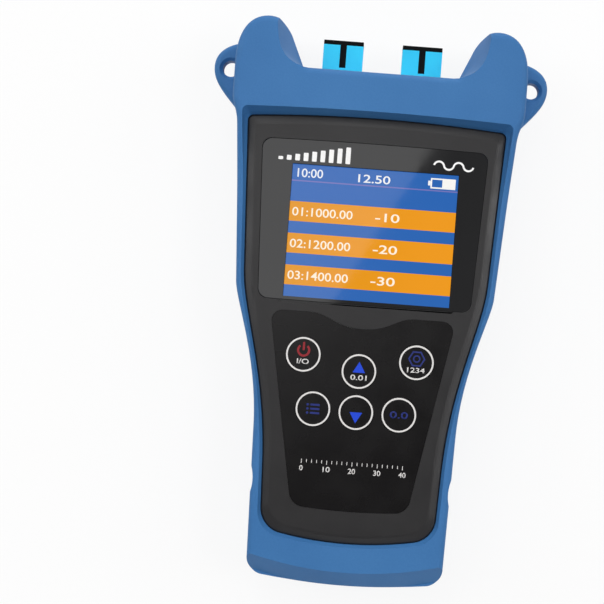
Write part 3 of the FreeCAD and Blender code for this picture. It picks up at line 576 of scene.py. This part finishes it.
# The same plastic where the tool is polished: the raised arrow, smoother than the face round it. Its paler colour is
# painted sheen that stands in for the shine of the polish, not a different plastic.
POLISHED_PAINTED_SHEEN = Moulded("abs_polished_painted_sheen", "#5a595a", "#514f51", (0.1, 0.16), grain_mm=0.45, grain_depth_mm=0.002,
                   drift_mm=26.0)
# Hard-coated polycarbonate sheet: deep black, a dry even face with a soft shine.
SHEET = Moulded("polycarbonate_keypad_sheet", "#0f0d0e", "#0b090a", (0.24, 0.3), grain_mm=0.35,
                grain_depth_mm=0.004, drift_mm=22.0, ior=1.38)
# The same sheet over the keys: a shade lighter and glossier, where fingers polish it.
KEY_CAP = Moulded("polycarbonate_key_cap", "#100e0f", "#0c0a0b", (0.22, 0.28), grain_mm=0.35,
                  grain_depth_mm=0.004, drift_mm=12.0, ior=1.38)
# Glass-filled polyester of the fibre adapters: clear cyan with a smooth moulded gloss.
CYAN = Moulded("polyester_adapter", "#24d3fb", "#1bc8f4", (0.3, 0.4), grain_mm=0.4, grain_depth_mm=0.006,
               drift_mm=9.0, ior=1.4)
# Soft vinyl dust plugs: blue-black with a dull bloom.
PLUG = Moulded("vinyl_dust_plug", "#04080a", "#020506", (0.5, 0.6), grain_mm=0.4, drift_mm=6.0, ior=1.18)
# Acrylic light guide of the backlight: milky white.
GUIDE = Moulded("acrylic_light_guide", "#e9edf0", "#dde3e8", (0.2, 0.3), grain_mm=1.2, grain_depth_mm=0.004,
                drift_mm=20.0, glow_through=0.2)
# Epoxy moulding compound of chips: matt charcoal with a fine sandy face.
CHIP = Moulded("epoxy_chip_body", "#232426", "#1b1c1e", (0.55, 0.7), grain_mm=0.2, grain_depth_mm=0.008,
               drift_mm=4.0)
# Nylon switch bodies: dull dark grey.
SWITCH = Moulded("nylon_switch_body", "#2d2e30", "#242527", (0.45, 0.6), grain_mm=0.3, grain_depth_mm=0.008,
                 drift_mm=4.0)
# Ground zirconia ferrules: dense white ceramic with a polished shine.
CERAMIC = Moulded("zirconia_ferrule", "#f2efe9", "#e8e4dc", (0.12, 0.2), grain_mm=0.2, grain_depth_mm=0.001,
                  drift_mm=5.0, ior=2.1)
# Silicone bead that bonds the window: soft dark grey, no shine.
SEALANT = Moulded("silicone_bead", "#333334", "#2b2b2c", (0.55, 0.65), grain_mm=0.3, grain_depth_mm=0.004,
                  drift_mm=8.0, ior=1.41)
# Pressed steel of the display frame: tin plate with faint rolling lines.
FRAME = Metal("tin_plated_steel", "#c3c5c7", "#a9abae", (0.28, 0.42))
# Milled aluminium block, bead blasted and clear anodised: soft pale grey.
BLOCK = Metal("anodised_aluminium", "#c9cbce", "#b3b6ba", (0.38, 0.5), line_mm=0.4, line_length_mm=5.0, axis=Axis.X)
# Nickel-plated spring steel of the battery contacts: bright with thin lines.
SPRING = Metal("nickel_spring_steel", "#d2cfc6", "#b9b6ac", (0.18, 0.3), line_mm=0.2, line_length_mm=8.0, axis=Axis.Z)
# Zinc-plated steel screws: bluish bright grey with fine turning lines.
SCREW = Metal("zinc_plated_steel", "#c5c9cf", "#a4a8ae", (0.22, 0.36), line_mm=0.15, line_length_mm=2.0, axis=Axis.X)
# White screen ink on the keypad sheet: warm, even and a little dull.
WHITE_INK = ScreenInk("screen_ink_white", "#e8e5e3", "#dcd9d7")
# White ink under the window's coat: cleaner and brighter than the keypad's.
WINDOW_INK = ScreenInk("screen_ink_bright_white", "#fbfaf9", "#f3f2f1")
# Thin blue ink over black: deep and dim.
BLUE_INK = ScreenInk("screen_ink_blue", "#1c2c7c", "#17256c")
# Two coats of blue ink: a vivid blue that stands out from the key.
BRIGHT_BLUE_INK = ScreenInk("screen_ink_bright_blue", "#0e46dc", "#0c3fca")
# Thin red ink over black: a dark, soft red.
RED_INK = ScreenInk("screen_ink_red", "#98202a", "#861b24")
# Lit segments of the header: a cool white.
SEGMENTS = PictureLight("lcd_segments_white", "#e6ebf4", "#f4f2ee")
# Lit segments of the rows: a warmer white, where orange shines round the figures.
ROW_SEGMENTS = PictureLight("lcd_segments_warm", "#fbeed6", "#fdf0da")
# Float glass over the lit display: clean bands of blue and orange that shift a little across it, near black round.
PICTURE = Picture()
# Cast acrylic, printed on its back: a deep black border under a mirror-like face, and a clear opening.
WINDOW = PrintedWindow()
# Etched and masked board: glossy green with thin paler tracks and the weave of its glass cloth.
BOARD = Laminate()
# Shrunk film over steel: a glossy, slightly creased jacket, with bright metal at the ends.
JACKET = CellJacket()
# Rolled matt paint: an even white without shine.
FLOOR_PAINT = StudioPaint()


@dataclass(frozen=True)
class Box:
    """A rectangle that a mark fills, from its lower left to its upper right corner, in mm."""
    x0: float
    y0: float
    x1: float
    y1: float

    def moved(self, x: float, y: float) -> "Box":
        """Gives the box moved by x and y."""
        return Box(self.x0 + x, self.y0 + y, self.x1 + x, self.y1 + y)


class Shapes:
    """Gathers flat shapes in one mesh and gives them a thin, closed body. Sizes are in mm, turns in degrees."""

    def __init__(self, low_mm: float, film_mm: float = 0.03) -> None:
        """Starts an empty print whose film starts at the level low_mm."""
        self.bm = bmesh.new()
        self.low_mm, self.film_mm = low_mm, film_mm

    def _place(self, before: set[bmesh.types.BMVert], x: float, y: float, turn: float = 0.0) -> None:
        """Turns the vertices that weren't there before about Z, and moves them."""
        move = Matrix.Translation((x, y, 0.0)) @ Matrix.Rotation(math.radians(turn), 4, "Z")
        bmesh.ops.transform(self.bm, matrix=move, verts=[v for v in self.bm.verts if v not in before])

    def ring(self, x: float, y: float, outer: float, inner: float = 0.0, sides: int = 64, turn: float = 0.0) -> None:
        """Adds a disc, polygon or ring.

        Args:
            x: Middle along X.
            y: Middle along Y.
            outer: Outer radius.
            inner: Inner radius, 0 for a full disc.
            sides: Number of sides.
            turn: Turn about the middle.
        """
        before = set(self.bm.verts)
        made = bmesh.ops.create_circle(self.bm, cap_ends=inner == 0.0, segments=sides, radius=outer)["verts"]
        if inner:
            edges = list(dict.fromkeys(e for v in made for e in v.link_edges))
            grown = bmesh.ops.extrude_edge_only(self.bm, edges=edges)["geom"]
            rim = [g for g in grown if isinstance(g, bmesh.types.BMVert)]
            bmesh.ops.scale(self.bm, vec=(inner / outer, inner / outer, 1.0), verts=rim)
        self._place(before, x, y, turn)

    def arc(self, x: float, y: float, outer: float, inner: float, start: float, sweep: float,
            steps: int = 40) -> None:
        """Adds part of a ring.

        Args:
            x: Middle along X.
            y: Middle along Y.
            outer: Outer radius.
            inner: Inner radius.
            start: Where it starts, anticlockwise from +X.
            sweep: How far it goes on from there.
            steps: Number of sides along it.
        """
        before = set(self.bm.verts)
        ends = [self.bm.verts.new((r, 0.0, 0.0)) for r in (inner, outer)]
        bmesh.ops.spin(self.bm, geom=[*ends, self.bm.edges.new(ends)], cent=(0, 0, 0), axis=(0, 0, 1),
                       angle=math.radians(sweep), steps=steps, use_merge=False)
        self._place(before, x, y, start)

    def bar(self, box: Box, corner: float = 0.0) -> None:
        """Adds a rectangle.

        Args:
            box: Its place and size.
            corner: Radius of its corners.
        """
        before = set(self.bm.verts)
        made = bmesh.ops.create_grid(self.bm, x_segments=1, y_segments=1, size=0.5)["verts"]
        bmesh.ops.scale(self.bm, vec=(box.x1 - box.x0, box.y1 - box.y0, 1.0), verts=made)
        if corner:
            bmesh.ops.bevel(self.bm, geom=made, offset=corner, affect="VERTICES", segments=5, profile=0.5, material=-1)
        self._place(before, (box.x0 + box.x1) / 2, (box.y0 + box.y1) / 2)

    def wave(self, x: float, y: float, hump: float, rise: float, stroke: float, humps: int) -> None:
        """Adds a wave of arcs that run smoothly into each other.

        Args:
            x: Left end.
            y: Level about which it swings.
            hump: Length of one hump.
            rise: Height of one hump.
            stroke: Width of the line.
            humps: Number of humps, up and down.
        """
        radius = (hump * hump / 4 + rise * rise) / (2 * rise)
        half = math.degrees(math.asin(hump / 2 / radius))
        for k in range(humps):
            up = 1 if k % 2 == 0 else -1
            self.arc(x + hump * (k + 0.5), y + up * (rise - radius), radius + stroke / 2, radius - stroke / 2,
                     up * 90 - half, 2 * half)

    def words(self, text: str, box: Box, bold: float = 0.0) -> None:
        """Adds plain figures that fill a box.

        Args:
            text: The figures.
            box: Their place and size.
            bold: Weight added to the strokes, as a share of their height.
        """
        curve = bpy.data.curves.new("figures", "FONT")
        curve.body, curve.size, curve.offset, curve.resolution_u = text, 1.0, bold, 4
        shown = bpy.data.objects.new("figures", curve)
        bpy.context.scene.collection.objects.link(shown)
        mesh = bpy.data.meshes.new_from_object(shown.evaluated_get(bpy.context.evaluated_depsgraph_get()))
        xs, ys = [[v.co[k] for v in mesh.vertices] for k in (0, 1)]
        grow = Matrix.Diagonal(((box.x1 - box.x0) / (max(xs) - min(xs)), (box.y1 - box.y0) / (max(ys) - min(ys)), 1, 1))
        mesh.transform(Matrix.Translation((box.x0, box.y0, 0)) @ grow @ Matrix.Translation((-min(xs), -min(ys), 0)))
        self.bm.from_mesh(mesh)
        bpy.data.objects.remove(shown)
        bpy.data.curves.remove(curve)
        bpy.data.meshes.remove(mesh)

    def piece(self, name: str, look: Look, body: Body) -> bpy.types.Object:
        """Closes the shapes into a film and sets it on a body.

        Args:
            name: Name of the piece.
            look: Its finish.
            body: What it rides on.

        Returns:
            The new object.
        """
        bmesh.ops.remove_doubles(self.bm, verts=self.bm.verts[:], dist=MERGE_MM)
        bmesh.ops.recalc_face_normals(self.bm, faces=self.bm.faces[:])
        bmesh.ops.reverse_faces(self.bm, faces=[f for f in self.bm.faces if f.normal.z < 0])
        bmesh.ops.solidify(self.bm, geom=self.bm.faces[:], thickness=self.film_mm)
        low = min(v.co.z for v in self.bm.verts)
        bmesh.ops.translate(self.bm, vec=(0, 0, self.low_mm - low), verts=self.bm.verts[:])
        bmesh.ops.scale(self.bm, vec=(MM, MM, MM), verts=self.bm.verts[:])
        return finished(self.bm, name, look, body)


def finish(look: Look) -> bpy.types.Material:
    """Gives the material of a finish, which is built only once."""
    return bpy.data.materials.get(look.name) or look.build()


def finished(bm: bmesh.types.BMesh, name: str, look: Look, body: Body) -> bpy.types.Object:
    """Makes an object of a bmesh in metres and sets it on its body.

    Args:
        bm: The shape, which is freed.
        name: Name of the piece.
        look: Its finish.
        body: What it rides on.

    Returns:
        The new object.
    """
    mesh = bpy.data.meshes.new(name)
    bm.to_mesh(mesh)
    bm.free()
    made = bpy.data.objects.new(name, mesh)
    bpy.context.scene.collection.objects.link(made)
    mesh.materials.append(finish(look))
    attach(made, body.value)
    log.info("%s rides on %s: %d faces", name, body.value, len(mesh.polygons))
    return made


def dress(look: Look, *nodes: str) -> None:
    """Gives a finish to CAD nodes.

    Args:
        look: The finish.
        nodes: Names of the nodes.
    """
    material = finish(look)
    for name in nodes:
        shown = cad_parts[name]
        if not shown.material_slots:
            shown.data.materials.append(material)
        for place in shown.material_slots:
            place.material = material
        log.info("%s dressed in %s", name, material.name)


@dataclass
class Shell:
    """Rubber boot, the two case halves, their screws and the battery door with its moulded arrow."""
    screws: int = 4
    door_face_mm: float = 2.3
    arrow_rise_mm: float = 0.25
    arrow_tip_mm: tuple[float, float] = (-53.8, 2.6)
    arrow_shaft: Box = Box(-0.9, -52.6, 0.9, -49.0)

    def build(self) -> None:
        """Dresses the boot, the case and the screws, and makes the arrow."""
        dress(RUBBER, "boot", "lanyard_lug_left", "lanyard_lug_right")
        dress(CASE, "front_case", "rear_case", "battery_door")
        dress(SCREW, *[f"{kind}_screw_{k}" for kind in ("case", "board", "adapter") for k in range(1, self.screws + 1)])
        self._door_arrow()

    def _door_arrow(self) -> None:
        """Makes the raised arrow on the door, which points to the notch where a finger lifts it."""
        arrow = Shapes(self.door_face_mm - self.arrow_rise_mm, self.arrow_rise_mm)
        y, radius = self.arrow_tip_mm
        arrow.ring(0.0, y, radius, sides=3, turn=180)
        arrow.bar(self.arrow_shaft)
        # The arrow's paler colour is painted sheen, so that it shows against the door.
        arrow.piece("battery_door_arrow", POLISHED_PAINTED_SHEEN, Body.DOOR)


@dataclass
class Display:
    """Printed window, lit display behind it and the marks beside the picture."""
    face_mm: float = 38.0
    glass_mm: float = 36.02
    slot_mm: float = 0.115
    bead_sunk_mm: float = 0.03
    bead_depth_mm: float = 0.5
    clock: Box = Box(-24.1, 39.6, -16.0, 42.4)
    title: Box = Box(-4.8, 39.3, 5.4, 41.9)
    rows: tuple[tuple[str, str], ...] = (("01:1000.00", "-10"), ("02:1200.00", "-20"), ("03:1400.00", "-30"))
    row_tops_mm: tuple[float, ...] = (30.05, 19.95, 9.9)
    row_left: Box = Box(-24.9, -2.75, -5.7, 0.0)
    row_right: Box = Box(1.5, -2.75, 9.2, 0.0)
    weight: float = 0.01
    charge: Box = Box(18.2, 39.1, 26.1, 42.4)
    charge_line_mm: float = 0.45
    charge_used_mm: float = 3.7
    charge_nub: Box = Box(17.4, 40.0, 18.15, 41.5)
    first_level: Box = Box(-30.4, 44.6, -28.9, 45.6)
    level_corner_mm: float = 0.25
    levels: int = 9
    level_step_mm: float = 2.65
    level_rise_mm: float = 0.53
    wave_from_mm: tuple[float, float] = (18.8, 46.4)
    hump_mm: tuple[float, float] = (3.1, 1.2)
    wave_line_mm: float = 0.6
    humps: int = 4

    def build(self) -> None:
        """Dresses the display and makes its figures."""
        dress(WINDOW, "display_window")
        dress(PICTURE, "lcd_glass")
        dress(GUIDE, "lcd_backlight")
        dress(FRAME, "lcd_frame")
        self._bead()
        self._figures()
        self._charge()
        self._marks()

    def _bead(self) -> None:
        """Makes the thin bead of sealant that fills the slot round the window, just under its face."""
        bm = bmesh.new()
        bm.from_mesh(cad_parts["display_window"].data)
        bmesh.ops.remove_doubles(bm, verts=bm.verts[:], dist=MERGE_MM * MM)
        low = min(v.co.z for v in bm.verts)
        raised = [f for f in bm.faces if max(v.co.z for v in f.verts) > low + LEVEL_MM * MM]
        bmesh.ops.delete(bm, geom=raised, context="FACES")
        bmesh.ops.dissolve_faces(bm, faces=bm.faces[:])
        spans = [(min(v.co[k] for v in bm.verts), max(v.co[k] for v in bm.verts)) for k in (0, 1)]
        middle = Matrix.Translation([-(a + b) / 2 for a, b in spans] + [0.0])
        grow = [1 + 2 * self.slot_mm * MM / (b - a) for a, b in spans]
        bmesh.ops.scale(bm, vec=(*grow, 1.0), space=middle, verts=bm.verts[:])
        sheet = bm.faces[:]
        bmesh.ops.inset_region(bm, faces=sheet, use_boundary=True, use_even_offset=True, thickness=self.slot_mm * MM)
        bmesh.ops.delete(bm, geom=sheet, context="FACES")
        bmesh.ops.translate(bm, vec=(0, 0, (self.face_mm - self.bead_sunk_mm) * MM - low), verts=bm.verts[:])
        grown = bmesh.ops.extrude_face_region(bm, geom=bm.faces[:])["geom"]
        lower = [g for g in grown if isinstance(g, bmesh.types.BMVert)]
        bmesh.ops.translate(bm, vec=(0, 0, -self.bead_depth_mm * MM), verts=lower)
        bmesh.ops.recalc_face_normals(bm, faces=bm.faces[:])
        finished(bm, "window_bead", SEALANT, Body.METER)

    def _figures(self) -> None:
        """Makes the clock and the title figure of the header, and the figures of the rows."""
        header = Shapes(self.glass_mm)
        header.words("10:00", self.clock, self.weight)
        header.words("12.50", self.title, self.weight)
        header.piece("display_header_figures", SEGMENTS, Body.METER)
        rows = Shapes(self.glass_mm)
        for (left, right), top in zip(self.rows, self.row_tops_mm):
            rows.words(left, self.row_left.moved(0, top), self.weight)
            rows.words(right, self.row_right.moved(0, top), self.weight)
        rows.piece("display_row_figures", ROW_SEGMENTS, Body.METER)

    def _charge(self) -> None:
        """Makes the charge symbol: outline, nub and a half-full bar."""
        icon = Shapes(self.glass_mm)
        c, line = self.charge, self.charge_line_mm
        icon.bar(Box(c.x0, c.y0, c.x1, c.y0 + line))
        icon.bar(Box(c.x0, c.y1 - line, c.x1, c.y1))
        icon.bar(Box(c.x0, c.y0 + line, c.x0 + line, c.y1 - line))
        icon.bar(Box(c.x0 + self.charge_used_mm, c.y0 + line, c.x1, c.y1 - line))
        icon.bar(self.charge_nub)
        icon.piece("display_charge_symbol", SEGMENTS, Body.METER)

    def _marks(self) -> None:
        """Makes the rising level bars and the wave above the picture."""
        bars = Shapes(self.face_mm)
        for k in range(self.levels):
            low = self.first_level.moved(self.level_step_mm * k, 0)
            bars.bar(Box(low.x0, low.y0, low.x1, low.y1 + self.level_rise_mm * k), self.level_corner_mm)
        bars.piece("window_level_bars", WINDOW_INK, Body.METER)
        wave = Shapes(self.face_mm)
        wave.wave(*self.wave_from_mm, *self.hump_mm, self.wave_line_mm, self.humps)
        wave.piece("window_wave", WINDOW_INK, Body.METER)


@dataclass
class Keypad:
    """Keypad sheet and its six keys, each with a printed ring and symbol, placed from the key's middle."""
    key_top_mm: float = 38.1
    sheet_mm: float = 38.0
    ring_mm: tuple[float, float] = (5.45, 4.93)
    keys: dict[Body, tuple[float, float]] = field(default_factory=lambda: {
        Body.POWER: (-17.9, -16.3), Body.UP: (0.0, -20.4), Body.SETTINGS: (17.9, -16.3),
        Body.MENU: (-13.6, -33.2), Body.DOWN: (0.0, -33.4), Body.REFERENCE: (13.6, -33.2)})
    weight: float = 0.015
    corner_mm: float = 0.2
    power_ring: tuple[float, float, float] = (1.35, 2.1, 1.4)
    power_turns: tuple[float, float] = (130, 280)
    power_bar: Box = Box(-0.33, 1.3, 0.33, 3.95)
    power_text: Box = Box(-1.9, -3.0, 1.9, -1.35)
    triangle_mm: float = 2.3
    triangles: tuple[tuple[Body, float, float], ...] = ((Body.UP, 0, 0.75), (Body.DOWN, 180, -1.1))
    up_text: Box = Box(-2.6, -2.8, 2.6, -1.1)
    nut_rise_mm: float = 1.2
    nut_mm: tuple[float, float] = (2.75, 2.2)
    nut_hole_mm: tuple[float, float] = (1.2, 0.75)
    settings_text: Box = Box(-2.8, -3.2, 2.8, -1.6)
    list_bar: Box = Box(-0.9, -0.32, 2.1, 0.32)
    list_dot_mm: tuple[float, float] = (-1.75, 0.4)
    list_step_mm: float = 1.3
    reference_text: Box = Box(-2.9, -1.1, 2.9, 1.1)
    scale_from_mm: float = -16.0
    scale_step_mm: float = 1.6
    scale_ticks: int = 21
    ticks_per_figure: int = 5
    units_per_tick: int = 2
    tick: Box = Box(-0.1, -50.2, 0.1, -49.2)
    long_tick: Box = Box(-0.1, -50.5, 0.1, -49.2)
    figure: Box = Box(-1.15, -52.9, 1.15, -51.2)
    zero: Box = Box(-0.55, -52.9, 0.55, -51.2)

    def build(self) -> None:
        """Dresses the keypad and makes its prints."""
        names = [body.value.removesuffix("_key") for body in self.keys]
        dress(SHEET, "keypad_overlay")
        dress(KEY_CAP, *[f"key_{name}" for name in names])
        dress(SWITCH, *[f"switch_body_{name}" for name in names])
        dress(CHIP, *[f"switch_stem_{name}" for name in names])
        for body, (x, y) in self.keys.items():
            ring = Shapes(self.key_top_mm)
            ring.ring(x, y, *self.ring_mm, sides=96)
            ring.piece(f"{body.value}_ring", WHITE_INK, body)
        self._power()
        self._arrows()
        self._settings()
        self._menu()
        self._reference()
        self._scale()

    def _text(self, name: str, text: str, box: Box, body: Body, look: ScreenInk = WHITE_INK) -> None:
        """Prints figures on a key.

        Args:
            name: Name of the piece.
            text: The figures.
            box: Their place from the key's middle.
            body: The key.
            look: Their ink.
        """
        word = Shapes(self.key_top_mm)
        word.words(text, box.moved(*self.keys[body]), self.weight)
        word.piece(name, look, body)

    def _power(self) -> None:
        """Makes the broken ring with its bar and the figures under it."""
        x, y = self.keys[Body.POWER]
        rise, outer, inner = self.power_ring
        icon = Shapes(self.key_top_mm)
        icon.arc(x, y + rise, outer, inner, *self.power_turns)
        icon.bar(self.power_bar.moved(x, y), self.corner_mm)
        icon.piece("power_symbol", RED_INK, Body.POWER)
        self._text("power_figures", "I/O", self.power_text, Body.POWER)

    def _arrows(self) -> None:
        """Makes the two triangles and the figures under the upper one."""
        for body, turn, rise in self.triangles:
            x, y = self.keys[body]
            mark = Shapes(self.key_top_mm)
            mark.ring(x, y + rise, self.triangle_mm, sides=3, turn=turn)
            mark.piece(f"{body.value}_triangle", BRIGHT_BLUE_INK, body)
        self._text("up_figures", "0.01", self.up_text, Body.UP)

    def _settings(self) -> None:
        """Makes the nut outline with its hole and the figures under it."""
        x, y = self.keys[Body.SETTINGS]
        nut = Shapes(self.key_top_mm)
        nut.ring(x, y + self.nut_rise_mm, *self.nut_mm, sides=6, turn=30)
        nut.ring(x, y + self.nut_rise_mm, *self.nut_hole_mm, sides=32)
        nut.piece("settings_nut", BLUE_INK, Body.SETTINGS)
        self._text("settings_figures", "1234", self.settings_text, Body.SETTINGS)

    def _menu(self) -> None:
        """Makes the list: three bars with a dot before each."""
        x, y = self.keys[Body.MENU]
        dot_x, radius = self.list_dot_mm
        rows = Shapes(self.key_top_mm)
        for k in (-1, 0, 1):
            level = y + self.list_step_mm * k
            rows.bar(self.list_bar.moved(x, level), self.corner_mm)
            rows.ring(x + dot_x, level, radius, sides=20)
        rows.piece("menu_list", BLUE_INK, Body.MENU)

    def _reference(self) -> None:
        """Makes the zero figure of the reference key."""
        self._text("reference_figures", "0.0", self.reference_text, Body.REFERENCE, BLUE_INK)

    def _scale(self) -> None:
        """Makes the plain tick scale with its figures under the keys."""
        scale = Shapes(self.sheet_mm)
        for k in range(self.scale_ticks):
            x = self.scale_from_mm + self.scale_step_mm * k
            if k % self.ticks_per_figure:
                scale.bar(self.tick.moved(x, 0))
            else:
                scale.bar(self.long_tick.moved(x, 0))
                scale.words(str(self.units_per_tick * k), (self.figure if k else self.zero).moved(x, 0), self.weight)
        scale.piece("sheet_scale", WHITE_INK, Body.METER)


@dataclass
class Ports:
    """Two fibre adapters with their ferrules, sleeves, dust plugs and the optics behind them."""
    sides: tuple[str, ...] = ("left", "right")

    def build(self) -> None:
        """Dresses the ports."""
        for side in self.sides:
            dress(CYAN, f"sc_adapter_{side}")
            dress(PLUG, f"dust_plug_{side}")
            dress(CERAMIC, f"ferrule_sleeve_{side}", f"stub_ferrule_{side}")
            dress(FRAME, f"photodiode_{side}")
        dress(BLOCK, "optical_block")


@dataclass
class Inside:
    """Main board with its parts, the cells, their contacts and the door's pin."""
    cells: int = 3

    def build(self) -> None:
        """Dresses the inner parts."""
        dress(BOARD, "main_board")
        dress(CHIP, "processor_chip")
        dress(SPRING, "battery_contacts_upper", "battery_contacts_lower", "hinge_pin")
        dress(JACKET, *[f"battery_cell_{k}" for k in range(1, self.cells + 1)])


@dataclass(frozen=True)
class Lamp:
    """An area lamp: its place and sides in metres, its watts, and its turn if it faces straight down."""
    name: str
    place: tuple[float, float, float]
    sides: tuple[float, float]
    watts: float
    turn: float | None = None

    def hang(self, aim: tuple[float, float, float]) -> None:
        """Hangs the lamp.

        Args:
            aim: The point that it faces, unless it faces straight down.
        """
        light = bpy.data.lights.new(self.name, "AREA")
        light.shape, light.size, light.size_y, light.energy = "RECTANGLE", *self.sides, self.watts
        lamp = bpy.data.objects.new(self.name, light)
        lamp.location = self.place
        if self.turn is None:
            lamp.rotation_euler = (Vector(aim) - Vector(self.place)).to_track_quat("-Z", "Y").to_euler()
        else:
            lamp.rotation_euler = (0.0, 0.0, math.radians(self.turn))
        lamp.visible_camera = False
        bpy.context.scene.collection.objects.link(lamp)


@dataclass
class Studio:
    """Pale floor, soft lamps, a card for the window's reflection, and the camera."""
    overhead: float = 0.12
    horizon: float = 0.34
    light_ramp: tuple[float, float] = (0.1, 0.85)
    backdrop: float = 1.1
    backdrop_ramp: tuple[float, float] = (0.08, 0.4)
    floor_half_m: float = 4.0
    floor_drop_mm: float = 0.2
    aim: tuple[float, float, float] = (0.0, 0.0, 0.02)
    lamps: tuple[Lamp, ...] = (
        Lamp("key_lamp", (-0.15, 0.62, 1.05), (0.6, 0.6), 2.6),
        Lamp("left_lamp", (-1.05, 0.38, 0.85), (0.7, 0.7), 4.8),
        Lamp("right_lamp", (1.05, 0.33, 0.85), (0.7, 0.7), 4.0),
        Lamp("left_strip", (-0.52, 0.05, 1.05), (0.3, 0.3), 1.2),
        Lamp("right_strip", (0.5, 0.05, 1.05), (0.3, 0.3), 2.4),
        Lamp("front_lamp", (0.1, -1.15, 0.95), (0.8, 0.8), 3.4),
        Lamp("back_lamp", (0.0, 1.35, 0.5), (0.7, 0.7), 5.6),
        Lamp("reflection_card", (-0.1027, 0.1397, 1.048), (0.26, 0.40), 0.52, turn=-28.6))
    camera_m: tuple[float, float, float] = (0.0, 0.00013, 0.543)
    camera_turn: float = 4.3
    camera_reach_m: float = 20.0
    lens_mm: float = 95.36
    sensor_mm: float = 36.0
    shift: tuple[float, float] = (-0.1023, 0.0077)

    def build(self) -> None:
        """Makes the studio."""
        self._floor()
        self._world()
        for lamp in self.lamps:
            lamp.hang(self.aim)
        self._camera()

    def _floor(self) -> None:
        """Makes the pale floor, just below the meter's back."""
        bm = bmesh.new()
        bmesh.ops.create_grid(bm, x_segments=1, y_segments=1, size=self.floor_half_m)
        bmesh.ops.translate(bm, vec=(0, 0, -self.floor_drop_mm * MM), verts=bm.verts[:])
        mesh = bpy.data.meshes.new("floor")
        bm.to_mesh(mesh)
        bm.free()
        floor = bpy.data.objects.new("floor", mesh)
        bpy.context.scene.collection.objects.link(floor)
        mesh.materials.append(finish(FLOOR_PAINT))

    def _world(self) -> None:
        """Makes a sky that is light at the horizon and dim overhead, with a pale backdrop low in the eye's view."""
        world = bpy.data.worlds.new("studio")
        bpy.context.scene.world = world
        world.use_nodes = True
        sky = Nodes(world.node_tree)
        view = sky.add("TexCoord").outputs["Generated"]
        up = sky.add("SeparateXYZ", {}, {0: view}).outputs["Z"]
        ramps = ((self.light_ramp, self.horizon), (self.backdrop_ramp, self.backdrop))
        light, backdrop = [sky.add("MapRange", {"From Min": low, "From Max": high, "To Min": strength,
                                                "To Max": self.overhead}, {"Value": up})
                           for (low, high), strength in ramps]
        brighter = sky.add("Math", {"operation": "MAXIMUM"}, {0: light, 1: backdrop})
        both = sky.add("Mix", {}, {FACTOR: sky.seen(), LOW_NUMBER: light, HIGH_NUMBER: brighter})
        sky.add("OutputWorld", links={"Surface": sky.add("Background", {}, {"Strength": both})})

    def _camera(self) -> None:
        """Sets the camera straight above the meter, a few degrees turned."""
        data = bpy.data.cameras.new("camera")
        data.lens, data.sensor_width, data.clip_end = self.lens_mm, self.sensor_mm, self.camera_reach_m
        data.shift_x, data.shift_y = self.shift
        camera = bpy.data.objects.new("camera", data)
        camera.location = self.camera_m
        camera.rotation_euler = (0.0, 0.0, math.radians(self.camera_turn))
        bpy.context.scene.collection.objects.link(camera)
        bpy.context.scene.camera = camera


def main() -> None:
    """Builds the studio and every sub-assembly."""
    logging.basicConfig(level=logging.INFO, format="%(name)s: %(message)s")
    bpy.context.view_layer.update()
    bpy.context.scene.view_settings.view_transform = "Standard"
    for part in (Studio(), Shell(), Display(), Keypad(), Ports(), Inside()):
        part.build()
        log.info("%s built", type(part).__name__)


if __name__ == "__main__":
    main()
